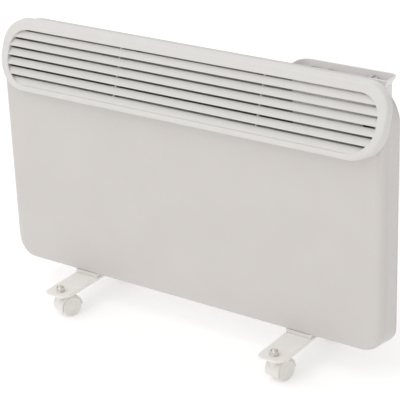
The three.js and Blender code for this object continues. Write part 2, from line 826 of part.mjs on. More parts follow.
// The flared collar round the recess, with a ledge inside that carries the fascia.
function podCollar() {
  const rings = [
    podRing(collarFlare, 0, collarLow),
    podRing(0, 0, collarLow + collarRise),
    podRing(0, 0, podTop),
    podRing(collarWall, collarWall, podTop),
    podRing(recessInset, recessFrontInset, collarFloor),
    podRing(collarLedge, collarLedgeFront, collarFloor),
    podRing(collarLedge, collarLedgeFront, collarLow),
  ];
  return loft(rings, true);
}

const switchFrameTop = fasciaTop + clearance + switchBezel;
const pivotZ = switchFrameTop - rockerPivotDepth;

function controlFascia() {
  const ring = (z) => podRing(recessInset + clearance, recessFrontInset + clearance, z);
  const plate = loft([ring(fasciaLow), ring(fasciaTop)]);
  const through = [fasciaLow - 1, fasciaTop + 1];
  const long = switchLength / 2 + clearance;
  const wide = switchWidth / 2 + clearance;
  const deep = [podMiddle - long, podMiddle + long];
  const switches = switchesX.map((x) => block(x - wide, x + wide, ...deep, ...through));
  const shaft = rod("z", shaftRadius + clearance, ...through, [knobX, podMiddle], 20);
  const neon = rod("z", neonRadius + clearance, ...through, [neonX, podMiddle], 20);
  return cut(plate, [...switches, shaft, neon]);
}

// A switch body with its frame on the fascia and a pocket for the rocker.
function switchBody(x) {
  const long = switchLength / 2;
  const wide = switchWidth / 2;
  const frameLow = fasciaTop + clearance;
  const low = fasciaLow - switchDepth;
  const body = block(x - wide, x + wide, podMiddle - long, podMiddle + long, low, frameLow + 1);
  const framed = [x - wide - switchBezel, x + wide + switchBezel];
  const frameDeep = [podMiddle - long - switchBezel, podMiddle + long + switchBezel];
  const frame = block(...framed, ...frameDeep, frameLow, switchFrameTop);
  const halfPocket = rockerLength / 2 + pocketMargin;
  const halfWide = rockerWidth / 2 + rockerGap;
  const floor = pivotZ - rockerRadius - rockerGap;
  const pocketDeep = [podMiddle - halfPocket, podMiddle + halfPocket];
  const pocket = block(x - halfWide, x + halfWide, ...pocketDeep, floor, switchFrameTop + 1);
  return body.add(frame).subtract(pocket);
}

// A rocker that turns on X: round below its pivot, with two faces above it. It rests at off.
function switchRocker(x) {
  const pairs = [];
  for (let angle = 200; angle <= 340; angle += 20) {
    pairs.push([rockerRadius * Math.cos(angle * radians), rockerRadius * Math.sin(angle * radians)]);
  }
  const half = rockerLength / 2;
  pairs.push([half, rockerRise], [0, rockerRise - rockerDip], [-half, rockerRise]);
  const tip = (-rockerThrow / 2) * radians;
  const turnedPairs = pairs.map(([y, z]) => [
    podMiddle + y * Math.cos(tip) - z * Math.sin(tip),
    pivotZ + y * Math.sin(tip) + z * Math.cos(tip),
  ]);
  return sidePrism(turnedPairs, x - rockerWidth / 2, x + rockerWidth / 2);
}

function neonLens() {
  const low = fasciaLow - neonDrop;
  const brim = fasciaTop + clearance;
  const profile = [
    [0, low],
    [neonRadius, low],
    [neonRadius, brim],
    [neonRadius + neonBrim, brim],
    [neonRadius + neonBrim, brim + neonBrimHeight],
    [neonRadius - neonBrim, brim + (neonBrimHeight + neonProud) / 2],
    [0, brim + neonProud],
  ];
  return turned(profile, 20, "z", [neonX, podMiddle, 0]);
}

const knobCentre = [knobX, podMiddle];
const thermostatTop = fasciaLow - thermostatDrop;
const shaftLow = thermostatTop - thermostatBore + 1;
const knobLow = fasciaTop + clearance;
const shaftTop = knobLow + shaftGrip;

function thermostatBody() {
  const x = [knobX - thermostatWidth / 2, knobX + thermostatWidth / 2];
  const back = podBack - collarFlare - podWall - clearance;
  const box = block(...x, back - thermostatDepth, back, thermostatTop - thermostatHeight, thermostatTop);
  const neck = rod("z", thermostatNeck, thermostatTop - 1, fasciaLow - clearance, knobCentre, 20);
  const bore = rod("z", shaftRadius + clearance, thermostatTop - thermostatBore, fasciaTop, knobCentre, 20);
  return box.add(neck).subtract(bore);
}

function thermostatKnob() {
  const disc = rod("z", knobRadius, knobLow, knobLow + knobDisc, knobCentre, 28);
  const long = knobRadius - knobGripInset;
  const across = [knobX - knobGripWidth / 2, knobX + knobGripWidth / 2];
  const grip = block(...across, podMiddle - long, podMiddle + long, knobLow + 1, knobLow + knobHeight);
  const bore = rod("z", shaftRadius + clearance, knobLow - 1, shaftTop + clearance, knobCentre, 20);
  return disc.add(grip).subtract(bore);
}

function terminalBlock() {
  const left = podLeft + terminalPlace;
  const front = backY + terminalSetback;
  const back = front + terminalDepth;
  const low = podBottom + terminalRise;
  const pitch = terminalWidth / terminalCount;
  const wells = [];
  for (let i = 0; i < terminalCount; i++) {
    const centre = [left + (i + 0.5) * pitch, back - terminalWellInset];
    const deep = [terminalTop - terminalWellDepth, terminalTop + 1];
    wells.push(rod("z", terminalWellRadius, ...deep, centre, 10));
  }
  return cut(block(left, left + terminalWidth, front, back, low, terminalTop), wells);
}

// The round entry for the mains lead, in the floor of the pod.
function cableGland() {
  const profile = [
    [glandBore, podBottom - glandLength],
    [glandRadius - 1, podBottom - glandLength],
    [glandRadius + glandBrim, podBottom - clearance - glandFlange],
    [glandRadius + glandBrim, podBottom - clearance],
    [glandRadius - clearance, podBottom - clearance],
    [glandRadius - clearance, podBottom + podWall + glandInside],
    [glandBore, podBottom + podWall + glandInside],
  ];
  return turned(profile, 20, "z", [glandX, podMiddle, 0]);
}

add("pod_housing", podHousing(), whiteMoulding);
add("pod_collar", podCollar(), whiteMoulding);
add("control_fascia", controlFascia(), greyMoulding);
["left", "right"].forEach((side, i) => {
  add(`switch_body_${side}`, switchBody(switchesX[i]), greyMoulding);
  add(`switch_rocker_${side}`, switchRocker(switchesX[i]), whiteMoulding);
});
add("neon_lens", neonLens(), amberLens);
add("thermostat_body", thermostatBody(), darkMoulding);
add("thermostat_shaft", rod("z", shaftRadius, shaftLow, shaftTop, knobCentre, 20), steel);
add("thermostat_knob", thermostatKnob(), whiteMoulding);
add("terminal_block", terminalBlock(), ceramic);
add("cable_gland", cableGland(), darkMoulding);

// ---- Feet and castors ----

function foot() {
  const long = footLength / 2;
  const radii = evenRadii(footCornerRadius);
  const outline = roundedOutline(-footWidth / 2, footWidth / 2, -long, long, radii);
  const plate = slab(outline, footLow, footTop);
  const run = long - footCornerRadius;
  const flanges = footSides.map((side) => {
    const edges = [(side * footWidth) / 2, side * (footWidth / 2 - footFlangeSheet)].sort((a, b) => a - b);
    return block(...edges, -run, run, footTop - footFlange, footTop - footSheet / 2);
  });
  const through = [footLow - 1, footTop + 1];
  const studPlaces = castorEnds.map((end) => [0, (end * castorSpacing) / 2]);
  const studs = studPlaces.map((place) => rod("z", footHoleRadius, ...through, place, 20));
  const screws = footScrewPlaces.map((x) => rod("z", footScrewRadius + clearance, ...through, [x, 0], 12));
  return cut(join([plate, ...flanges]), [...studs, ...screws]);
}

function footSpacer() {
  const low = footTop + clearance;
  const high = casingBottom - clearance;
  const half = [spacerWidth / 2, spacerLength / 2];
  const body = block(-half[0], half[0], -half[1], half[1], low, high);
  const through = [low - 1, high + 1];
  const holes = footScrewPlaces.map((x) => rod("z", footScrewRadius + clearance, ...through, [x, 0], 12));
  return cut(body, holes);
}

function footScrew(x) {
  const seat = footLow - clearance;
  const tip = casingBottom + footScrewReach;
  const shank = rod("z", footScrewRadius, seat - footScrewHead / 2, tip, [x, 0], 12);
  return shank.add(rod("z", footScrewHeadRadius, seat - footScrewHead, seat, [x, 0], 16));
}

// The swivelling part of a castor: an arched hood over both wheels, a web between them and a boss
// round the stud. It trails towards +Y in its own frame.
function castorHood() {
  const outer = wheelRadius + hoodClearance + hoodSheet;
  const arc = [[castorTrail, wheelRadius]];
  for (let angle = hoodFrom; angle <= hoodTo; angle += (hoodTo - hoodFrom) / hoodSteps) {
    const a = angle * radians;
    arc.push([castorTrail + outer * Math.cos(a), wheelRadius + outer * Math.sin(a)]);
  }
  const hood = sidePrism(arc, -hoodWidth / 2, hoodWidth / 2);
  const hub = [castorTrail, wheelRadius];
  const web = rod("x", castorWebRadius, -castorWeb / 2, castorWeb / 2, hub, 16);
  const boss = rod("z", bossRadius, wheelRadius + castorTrail / 2, bossTop, [0, 0], 16);
  const wells = [-1, 1].map((side) => {
    const span = [(side * castorWeb) / 2, side * hoodWidth].sort((a, b) => a - b);
    return rod("x", wheelRadius + hoodClearance, ...span, hub, 24);
  });
  const axleHole = rod("x", axleRadius + clearance, -castorWeb, castorWeb, hub, 16);
  const studBore = rod("z", studRadius + clearance, studLow - clearance, bossTop + 1, [0, 0], 16);
  return cut(join([hood, web, boss]), [...wells, axleHole, studBore]);
}

// A wheel with a dished outer face and a blind bore for the axle, on X.
function castorWheel(side) {
  const bore = axleRadius + clearance;
  const blind = wheelWidth - wheelEndWall;
  const profile = [
    [bore, 0],
    [wheelRadius - wheelBevel, 0],
    [wheelRadius, wheelBevel],
    [wheelRadius, wheelWidth - wheelBevel],
    [wheelRadius - wheelRim + wheelDish, wheelWidth],
    [wheelRadius - wheelRim, wheelWidth - wheelDish],
    [0, wheelWidth - wheelDish],
    [0, blind],
    [bore, blind],
  ];
  const placed = profile.map(([r, along]) => [r, side * (wheelGap / 2 + along)]);
  if (side < 0) placed.reverse();
  return turned(placed, 24, "x", [0, castorTrail, wheelRadius]);
}

function castorAxle() {
  const half = wheelGap / 2 + wheelWidth - wheelEndWall - clearance;
  return rod("x", axleRadius, -half, half, [castorTrail, wheelRadius], 16);
}

const nutLow = footTop + clearance;
const nutTop = nutLow + nutHeight;

function castorStud() {
  const collarTop = footLow - clearance;
  const end = nutTop + studProud;
  const profile = [
    [0, studLow],
    [studRadius, studLow],
    [studRadius, bossTop + clearance],
    [studCollarRadius, bossTop + clearance],
    [studCollarRadius, collarTop],
    [studRadius, collarTop],
    [studRadius, end - studBevel],
    [studRadius - studBevel, end],
    [0, end],
  ];
  return turned(profile, 16, "z", [0, 0, 0]);
}

function castorNut() {
  const brim = turned(
    [
      [0, nutLow],
      [nutFlangeRadius, nutLow],
      [nutFlangeRadius, nutLow + nutFlangeEdge],
      [nutAcrossFlats / 2, nutLow + nutFlangeTop],
      [0, nutLow + nutFlangeTop],
    ],
    16,
    "z",
    [0, 0, 0],
  );
  const hex = rod("z", nutAcrossFlats / Math.sqrt(3), nutLow + nutFlangeEdge, nutTop, [0, 0], 6);
  const bore = rod("z", studRadius + clearance, nutLow - 1, nutTop + 1, [0, 0], 16);
  return brim.add(hex).subtract(bore);
}

const castorEnds = [-1, 1];
const castorTurns = {
  front_left: frontLeftTurn,
  front_right: frontRightTurn,
  rear_left: rearLeftTurn,
  rear_right: rearRightTurn,
};

for (const side of footSides) {
  const label = side < 0 ? "left" : "right";
  const place = new THREE.Group();
  place.position.x = (side * footSpacing) / 2;
  heater.add(place);
  add(`foot_${label}`, foot(), whitePaint, place);
  add(`foot_spacer_${label}`, footSpacer(), whiteMoulding, place);
  footScrewPlaces.forEach((x, i) => {
    add(`foot_screw_${label}_${i + 1}`, footScrew(x), zinc, place);
  });
  for (const end of castorEnds) {
    const name = `${end < 0 ? "front" : "rear"}_${label}`;
    const castor = new THREE.Group();
    castor.position.y = (end * castorSpacing) / 2;
    place.add(castor);
    add(`castor_${name}_stud`, castorStud(), zinc, castor);
    add(`castor_${name}_nut`, castorNut(), zinc, castor);
    const swivel = new THREE.Group();
    swivel.rotation.z = castorTurns[name] * radians;
    castor.add(swivel);
    add(`castor_${name}_hood`, castorHood(), castorPlastic, swivel);
    add(`castor_${name}_axle`, castorAxle(), steel, swivel);
    add(`castor_${name}_wheel_left`, castorWheel(-1), castorPlastic, swivel);
    add(`castor_${name}_wheel_right`, castorWheel(1), castorPlastic, swivel);
  }
}

export default heater;
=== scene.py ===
"""Looks of a free-standing panel convector heater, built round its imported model."""
import math

import bmesh
import bpy
from mathutils import Matrix, Vector

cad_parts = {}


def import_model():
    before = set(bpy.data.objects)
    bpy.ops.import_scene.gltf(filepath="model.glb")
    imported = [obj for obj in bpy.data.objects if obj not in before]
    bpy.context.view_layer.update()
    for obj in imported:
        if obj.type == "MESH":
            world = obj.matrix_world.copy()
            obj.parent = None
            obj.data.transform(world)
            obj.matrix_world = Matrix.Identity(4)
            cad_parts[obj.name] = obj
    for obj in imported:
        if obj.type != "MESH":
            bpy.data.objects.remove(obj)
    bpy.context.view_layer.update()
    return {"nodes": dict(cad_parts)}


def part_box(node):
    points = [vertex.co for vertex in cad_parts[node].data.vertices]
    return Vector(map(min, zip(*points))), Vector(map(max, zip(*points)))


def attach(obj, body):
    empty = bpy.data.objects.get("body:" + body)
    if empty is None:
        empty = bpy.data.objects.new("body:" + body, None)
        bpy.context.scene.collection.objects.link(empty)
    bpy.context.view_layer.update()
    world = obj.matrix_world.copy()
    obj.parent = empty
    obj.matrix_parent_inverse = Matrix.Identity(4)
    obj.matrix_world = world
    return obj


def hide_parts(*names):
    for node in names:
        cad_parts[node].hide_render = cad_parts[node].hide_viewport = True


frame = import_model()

scene = bpy.context.scene

# ---- Sizes, in millimetres ----

MM = 0.001


def node_box(node):
    low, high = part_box(node)
    return low / MM, high / MM


# What the frame gives
casing_low, casing_high = node_box("front_casing")
rear_low, rear_high = node_box("rear_panel")
HALF = casing_high.x
BOTTOM = casing_low.z
TOP = casing_high.z
FRONT = casing_low.y
BACK = rear_high.y
PAN_EDGE = rear_low.y
GAP = 0.35  # between neighbouring pieces
CASING_EDGE = PAN_EDGE - GAP
GRILLE_FOOT = node_box("outlet_grille")[0].z
SEAM = 0.06  # what shows of a gap between the casing and the grille

# What only the making of the shapes needs
CORNER_STEPS = 20
ROLL_STEPS = 8
THROUGH = 3  # how far a cutter reaches past a sheet
OUTSIDE = 50  # clear of the heater
FAR = 100  # clear of everything else
TOUCH = 0.01  # closer than this lies against the sheet
MERGE = 1e-6  # metres; points closer than this are one point

# Casing
SHEET = 1
HOLLOW_REACH = 60  # how far the hollow runs on past the casing's edge
TOP_RADIUS = 67
BOTTOM_RADIUS = 39
BOTTOM_REAR_RADIUS = 29
ROLL_EDGE = 1.5  # a flat strip beside every roll, so that the shading stays even
SIDE_ROLL = 14
BOTTOM_ROLL = 4
REAR_ROLL = 7
INLET_ROWS = (-9, 5)
INLET_COUNT = 8
INLET_PITCH = 44
INLET_LENGTH = 36
INLET_WIDTH = 5
VENT_ROWS = (85, 97)
VENT_COUNT = 9
VENT_PITCH = 60
VENT_LENGTH = 44
VENT_HEIGHT = 5
HOOK_PLACES = ((-120, 180), (120, 180), (-120, 470), (120, 470))
HOOK_RADIUS = 6
HOOK_SLOT = 6
HOOK_RISE = 13
POCKET_WIDTH = 19
POCKET_DEPTH = 9
LUG_WIDTH = 20
LUG_HEIGHT = 14
LUG_DEPTH = 12
REAR_SCREW_HOLE = 2.25
REAR_SCREW_DEPTH = 11.35  # of its hole, from the back
REAR_SHANK = 1.9
LOOM_HOLE = 4.4
LOOM_PLACE = (262, 372)

# Screw heads, as shares of their radius or height
SCREW_RIM = 0.45
SCREW_CROWN = 0.55
CROSS_DEPTH = 0.6
CROSS_LENGTH = 0.55
CROSS_THICK = 0.14
SHANK_SINK = 0.6  # millimetres that a shank reaches into its head

# Outlet grille
TILT = math.radians(20)
GRILLE_PROUD = 20.9
GRILLE_WALL = 2.4
GRILLE_ROLL = 5
GRILLE_TOP_RADIUS = 43
GRILLE_LOW_RADIUS = 57
GRILLE_SEAT_RADIUS = TOP - GRILLE_FOOT - TOP_RADIUS
GRILLE_SEAT = 14
OUTLET_HALF = 358
OUTLET_LOW = 12
OUTLET_HIGH = 106
OUTLET_TOP_RADIUS = 35
OUTLET_LOW_RADIUS = 46
OUTLET_WALL_DEPTH = 9
OUTLET_WALL = 1.7
OUTLET_LIP = 1.5  # rounding of the opening's front edge
SLAT_COUNT = 6
SLAT_PITCH = 15.8
SLAT_HEIGHT = 12.6
SLAT_THICK = 1.8
SLAT_EDGE_DEPTH = 0.8
SLAT_LEAN = 5.8
RIB_THICK = 1.8
RIB_DEPTH = 12
RIB_PLACES = (-127, 151)

# Control pod
pod_low, pod_high = node_box("pod_collar")
POD_LEFT = pod_low.x
POD_RIGHT = pod_high.x
POD_FRONT = pod_low.y
POD_BACK = pod_high.y
POD_TOP = pod_high.z
POD_FLOOR = node_box("pod_housing")[0].z
POD_MIDDLE = (POD_FRONT + POD_BACK) / 2
COLLAR_LOW = pod_low.z
POD_WALL = 2.2
POD_ROLL = 2  # round the floor
POD_LEFT_RADIUS = 19
POD_RIGHT_RADIUS = 12
POD_FRONT_RADIUS = 1
POD_LEAST_RADIUS = 2  # of an inner corner at the back
COLLAR_FLARE = 6
COLLAR_RISE = 12
COLLAR_STEPS = 8
COLLAR_EASE = 1.6  # how late the flare opens
COLLAR_WALL = 2.2
COLLAR_LEDGE = 9
COLLAR_LEDGE_FRONT = 5.2
fascia_low, fascia_high = node_box("control_fascia")
FASCIA_LOW = fascia_low.z
FASCIA_TOP = fascia_high.z
FASCIA_EDGE = 0.4
RECESS_INSET = fascia_low.x - GAP - POD_LEFT  # of the recess at its floor
RECESS_FRONT = fascia_low.y - GAP - POD_FRONT
SWITCH_PLACES = {"left": 208, "right": 238}
SWITCH_WIDTH = 13
SWITCH_LENGTH = 19
SWITCH_BEZEL = 1.6
BEZEL_RADIUS = 1.5
BEZEL_ROLL = 0.7
SWITCH_DEPTH = 14
SWITCH_TOP = FASCIA_TOP + GAP + SWITCH_BEZEL
ROCKER_PIVOT = SWITCH_TOP - 3
ROCKER_LENGTH = 14.4
ROCKER_WIDTH = 10
ROCKER_RADIUS = 7.6
ROCKER_RISE = 3.6
ROCKER_DIP = 1
ROCKER_BOW = 1.5
ROCKER_STEPS = 8
ROCKER_GAP = 0.4
ROCKER_TIP = math.radians(-7)
ROCKER_EDGE = 0.35
SWITCH_ROOM = 1.3  # beyond each end of the rocker
MARK_PLACE = 4.6  # from the rocker's pivot
MARK_PROUD = 0.08
MARK_SUNK = 0.4
BAR_LENGTH = 2.8
BAR_THICK = 0.6
RING_INSIDE = 1
RING_OUTSIDE = 1.5
NEON_X = 267
NEON_RADIUS = 4
NEON_BRIM = 1
NEON_EDGE = 0.3
NEON_DOME = 3.4
KNOB_X = 310
KNOB_RADIUS = 12.5
KNOB_LOW = FASCIA_TOP + GAP
KNOB_DISC = 3.3
KNOB_EDGE = 0.8
KNOB_BORE = 2.85
FLUTE_COUNT = 24
FLUTE_RADIUS = 0.75
FLUTE_OUT = 0.35  # middle of a flute beyond the knob's edge
GRIP_THICK = 6.8
GRIP_END = 0.9
GRIP_EDGE = 1.1
POINTER_THICK = 0.7
POINTER_REACH = (2, 1.3)  # from the knob's middle, and short of the grip's end
POINTER_STANDS = (-0.4, 0.05)  # about the grip's top
TICK_COUNT = 11
TICK_FROM = 0.5
TICK_TO = 1.2
TICK_SWEEP = 270
TICK_HALF = 0.25
TICK_END_HALF = 0.5
TICK_STANDS = (-0.2, 0.1)  # about the fascia
KNOB_TOP = node_box("thermostat_knob")[1].z
SHAFT_RADIUS = 3
GLAND_X = 205
GLAND_RADIUS = 8
GLAND_BORE = 4
GLAND_BRIM = 3

# Feet and castors
FOOT_X = 219
FOOT_LENGTH = 230
FOOT_WIDTH = 49
FOOT_SHEET = 2.5
FOOT_LOW = node_box("foot_left")[0].z
FOOT_TOP = node_box("foot_left")[1].z
FOOT_RADIUS = 13
FOOT_ROLL = 1.6
FOOT_FLANGE = 2
FOOT_HOLE = 4.4
FOOT_SCREWS = (-12, 12)
FOOT_SCREW_HOLE = 2.85
FOOT_SHANK = 2.5
SPACER_EDGE = 0.3
CASTOR_Y = 96
WHEEL_RADIUS = 18
WHEEL_WIDTH = 11.2
WHEEL_GAP = 7.4
WHEEL_TREAD = 0.5
WHEEL_DISH = 0.8
WHEEL_RIM = ((2.9, 0), (3.3, 0.15), (3.6, 0.5), (3.9, WHEEL_DISH))  # in from the tread, down from the face
WHEEL_GROOVE = ((9.2, 0), (9, 0.35), (8.6, 0.35), (8.4, 0))  # radius, down from the dish
WHEEL_FLOOR = 2  # between the axle's end and the wheel's face
CASTOR_TRAIL = 13.5
WEB_WIDTH = 7
WEB_RADIUS = 17
WEB_SINK = 0.3  # into the hood
HOOD_SHEET = 3
HOOD_ROOM = 0.3
HOOD_WIDTH = 30.4
HOOD_FROM = 0
HOOD_TO = 200
HOOD_STEPS = 40
BOSS_RADIUS = 7.5
BOSS_LOW = 26
BOSS_EDGE = 0.6
BOSS_TOP = 41.5
STUD_RADIUS = 4
STUD_LOW = 33
STUD_COLLAR = 6.5
THREAD_PITCH = 1.25
THREAD_DEPTH = 0.5
THREAD_CREST = (0.45, 0.55)  # shares of the pitch
THREAD_START = 0.4  # above the nut's foot
THREAD_END = 0.8  # below the stud's end
AXLE_RADIUS = 2
NUT_FLATS = 13
NUT_HEIGHT = 7.6
NUT_FLANGE = 7.8
NUT_FLANGE_EDGE = ((-0.2, 0), (0, 0.3), (0, 0.8), (-0.4, 1.1))  # out from its radius, up from its foot
NUT_CONE = 2.6
NUT_CHAMFER = ((1, 1.6), (0, 1))  # out from its corners, down from its top
NUT_MOUTH = 0.6
NUT_LOW = FOOT_TOP + GAP
CASTOR_TURNS = {"front_left": -21, "front_right": -12, "rear_left": 201, "rear_right": 192}


# ---- Shapes ----


def arc(radius, start, end, steps, centre=(0, 0)):
    """Points along an arc, in degrees."""
    points = []
    for i in range(steps + 1):
        angle = math.radians(start + (end - start) * i / steps)
        points.append((centre[0] + radius * math.cos(angle), centre[1] + radius * math.sin(angle)))
    return points


def outline(left, right, low, high, radii, steps=CORNER_STEPS):
    """Points and outward normals round a rounded rectangle; radii go round from its lower right corner."""
    corners = (
        (right - radii[0], low + radii[0], radii[0], -90),
        (right - radii[1], high - radii[1], radii[1], 0),
        (left + radii[2], high - radii[2], radii[2], 90),
        (left + radii[3], low + radii[3], radii[3], 180),
    )
    points = []
    for x, y, radius, start in corners:
        for nx, ny in arc(1, start, start + 90, steps):
            points.append((x + radius * nx, y + radius * ny, nx, ny))
    return points


def top_and_bottom(top, bottom):
    return (bottom, top, top, bottom)


def about(middle, size):
    """The two ends of a size that lies evenly about its middle."""
    return middle - size / 2, middle + size / 2


def add_object(name, data):
    obj = bpy.data.objects.new(name, data)
    scene.collection.objects.link(obj)
    return obj


def new_object(name, vertices, faces):
    """A closed mesh object from points in millimetres, with its faces pointing out."""
    mesh = bpy.data.meshes.new(name)
    mesh.from_pydata([Vector(v) * MM for v in vertices], [], faces)
    made = bmesh.new()
    made.from_mesh(mesh)
    bmesh.ops.remove_doubles(made, verts=made.verts, dist=MERGE)
    loose = [edge for edge in made.edges if not edge.link_faces]
    bmesh.ops.delete(made, geom=loose, context="EDGES")
    bmesh.ops.recalc_face_normals(made, faces=made.faces)
    made.to_mesh(mesh)
    made.free()
    return add_object(name, mesh)


def loft(name, rings, closed=False):
    """A solid through rings of equally many points, with flat ends unless it closes on itself."""
    count = len(rings[0])
    faces = []
    for k in range(len(rings) if closed else len(rings) - 1):
        here, there = k * count, (k + 1) % len(rings) * count
        for i in range(count):
            j = (i + 1) % count
            faces.append((here + i, here + j, there + j, there + i))
    if not closed:
        faces.append(tuple(range(count)))
        faces.append(tuple(range((len(rings) - 1) * count, len(rings) * count)))
    return new_object(name, [p for ring in rings for p in ring], faces)


def block(name, x, y, z):
    rings = [[(x[0], y[0], h), (x[1], y[0], h), (x[1], y[1], h), (x[0], y[1], h)] for h in z]
    return loft(name, rings)


def prism_x(name, pairs, x0, x1):
    """An outline of (y, z) pairs, extruded along X."""
    return loft(name, [[(x, y, z) for y, z in pairs] for x in (x0, x1)])


def lathe(name, profile, centre=(0, 0, 0), axis="z", sides=64):
    """A solid of (radius, distance) pairs turned round an axis; the profile closes on itself."""
    rings = []
    for radius, along in profile:
        ring = []
        for a, b in arc(radius, 0, 360, sides)[:-1]:
            offset = {"x": (along, a, b), "y": (a, along, b), "z": (a, b, along)}[axis]
            ring.append(Vector(centre) + Vector(offset))
        rings.append(ring)
    return loft(name, rings, closed=True)


def turned(name, profile, centre=(0, 0, 0), axis="z", sides=64):
    """A lathed solid whose profile runs in to the axis at both its ends."""
    return lathe(name, [(0, profile[0][1]), *profile, (0, profile[-1][1])], centre, axis, sides)


def rod(name, radius, span, centre=(0, 0, 0), axis="z", sides=48):
    return turned(name, [(radius, span[0]), (radius, span[1])], centre, axis, sides)


def level_ring(points, z, inward=0):
    """A ring at a height, from an outline seen from above, drawn in by an amount."""
    return [(p[0] - inward * p[2], p[1] - inward * p[3], z) for p in points]


def slot(name, x, z, length, height, y):
    """A slot with round ends, along X, cut right through in Y."""
    radius = height / 2
    ends = outline(x - length / 2, x + length / 2, z - radius, z + radius, (radius,) * 4, 6)
    return loft(name, [[(p[0], depth, p[1]) for p in ends] for depth in y])


def move(obj, x, y, z):
    obj.data.transform(Matrix.Translation(Vector((x, y, z)) * MM))


def turn(obj, angle, axis):
    obj.data.transform(Matrix.Rotation(angle, 4, axis))


def combine(target, tool, how):
    """Joins, cuts or intersects target with tool, and removes the tool."""
    modifier = target.modifiers.new("combine", "BOOLEAN")
    modifier.operation = how
    modifier.solver = "MANIFOLD"
    modifier.object = tool
    apply_modifiers(target)
    bpy.data.objects.remove(tool)
    return target


def apply_modifiers(obj):
    depsgraph = bpy.context.evaluated_depsgraph_get()
    mesh = bpy.data.meshes.new_from_object(obj.evaluated_get(depsgraph))
    obj.modifiers.clear()
    obj.data = mesh
    mesh.name = obj.name


def cut(target, *tools):
    for tool in tools:
        combine(target, tool, "DIFFERENCE")
    return target


def join(target, *tools):
    for tool in tools:
        combine(target, tool, "UNION")
    return target


def keep(target, tool):
    return combine(target, tool, "INTERSECT")


def gather(name, parts):
    """Several apart solids as one object."""
    whole = bmesh.new()
    for part in parts:
        whole.from_mesh(part.data)
        bpy.data.objects.remove(part)
    mesh = bpy.data.meshes.new(name)
    whole.to_mesh(mesh)
    whole.free()
    return add_object(name, mesh)


def bevel(obj, width, segments=2, angle=40):
    """Rounds the sharp edges of a solid."""
    modifier = obj.modifiers.new("bevel", "BEVEL")
    modifier.width = width * MM
    modifier.segments = segments
    modifier.limit_method = "ANGLE"
    modifier.angle_limit = math.radians(angle)
    modifier.use_clamp_overlap = True
    apply_modifiers(obj)
    return obj


def smooth(obj, angle=32):
    """Smooth shading that keeps edges sharper than the angle, weighted so that flat faces stay flat."""
    mesh = obj.data
    mesh.polygons.foreach_set("use_smooth", [True] * len(mesh.polygons))
    mesh.set_sharp_from_angle(angle=math.radians(angle))
    modifier = obj.modifiers.new("normals", "WEIGHTED_NORMAL")
    modifier.mode = "FACE_AREA"
    modifier.weight = 50
    modifier.keep_sharp = True
    apply_modifiers(obj)
    return obj


def place(obj, look, *nodes, body="heater", painted_shade_look=None):
    """Gives a finished piece its look and its body, and hides the model's nodes that it stands for."""
    indices = [face.material_index for face in obj.data.polygons]
    obj.data.materials.clear()
    obj.data.materials.append(look.material)
    # The second look is painted shade, for the faces marked to take it.
    if painted_shade_look:
        obj.data.materials.append(painted_shade_look.material)
        obj.data.polygons.foreach_set("material_index", indices)
    SHARED_SLOTS.get(look.name, look.name)
    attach(obj, body)
    if nodes:
        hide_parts(*nodes)
    return obj


# ---- Materials ----


def feed(node, **values):
    """Sets a node's inputs by their names, with _ for a space."""
    for key, value in values.items():
        node.inputs[key.replace("_", " ")].default_value = value


class Look:
    """A node material whose colour, roughness and relief come from noise in real sizes."""

    def __init__(self, name, colour, roughness, metallic=0.0):
        self.name = name
        self.material = bpy.data.materials.new(name)
        self.material.use_nodes = True
        self.tree = self.material.node_tree
        self.shader = self.tree.nodes["Principled BSDF"]
        feed(self.shader, Base_Color=(*colour, 1), Roughness=roughness, Metallic=metallic)
        self.colour = colour
        self.height = None

    def link(self, source, target):
        self.tree.links.new(source, target)

    def noise(self, size, detail=2.0, stretch=(1, 1, 1)):
        """Noise whose features are about size millimetres across."""
        coordinates = self.tree.nodes.new("ShaderNodeTexCoord")
        mapping = self.tree.nodes.new("ShaderNodeMapping")
        feed(mapping, Scale=stretch)
        texture = self.tree.nodes.new("ShaderNodeTexNoise")
        feed(texture, Scale=1 / (size * MM), Detail=detail)
        self.link(coordinates.outputs["Object"], mapping.inputs["Vector"])
        self.link(mapping.outputs["Vector"], texture.inputs["Vector"])
        return texture.outputs["Fac"]

    def vary_colour(self, other, size, detail=2.0):
        """Drifts the colour towards another one in soft patches."""
        ramp = self.tree.nodes.new("ShaderNodeValToRGB")
        for element, place_at, tint in zip(ramp.color_ramp.elements, (0.35, 0.65), (self.colour, other)):
            element.position = place_at
            element.color = (*tint, 1)
        self.link(self.noise(size, detail), ramp.inputs["Fac"])
        self.link(ramp.outputs["Color"], self.shader.inputs["Base Color"])

    def vary_roughness(self, size, low, high, detail=3.0, stretch=(1, 1, 1)):
        spread = self.tree.nodes.new("ShaderNodeMapRange")
        feed(spread, From_Min=0.3, From_Max=0.7, To_Min=low, To_Max=high)
        self.link(self.noise(size, detail, stretch), spread.inputs["Value"])
        self.link(spread.outputs["Result"], self.shader.inputs["Roughness"])

    def relief(self, size, depth, detail=2.0, stretch=(1, 1, 1)):
        """Adds bumps of a size and a depth in millimetres, on top of the relief so far."""
        bump = self.tree.nodes.new("ShaderNodeBump")
        feed(bump, Strength=1, Distance=depth * MM)
        self.link(self.noise(size, detail, stretch), bump.inputs["Height"])
        if self.height:
            self.link(self.height, bump.inputs["Normal"])
        self.height = bump.outputs["Normal"]
        self.link(self.height, self.shader.inputs["Normal"])


def finish(name, kind, colour, other):
    """A look of a kind, between two colours."""
    roughness, metallic, patches, sheen, *reliefs = kind
    look = Look(name, colour, roughness, metallic)
    look.vary_colour(other, *patches)
    if sheen:
        look.vary_roughness(*sheen)
    for relief in reliefs:
        look.relief(*relief)
    return look


def moulded(roughness=0.42, grain=0.9, depth=0.012):
    """Plastic with a fine spark-eroded grain."""
    return roughness, 0, (45,), (6, roughness - 0.04, roughness + 0.05), (grain, depth, 3)


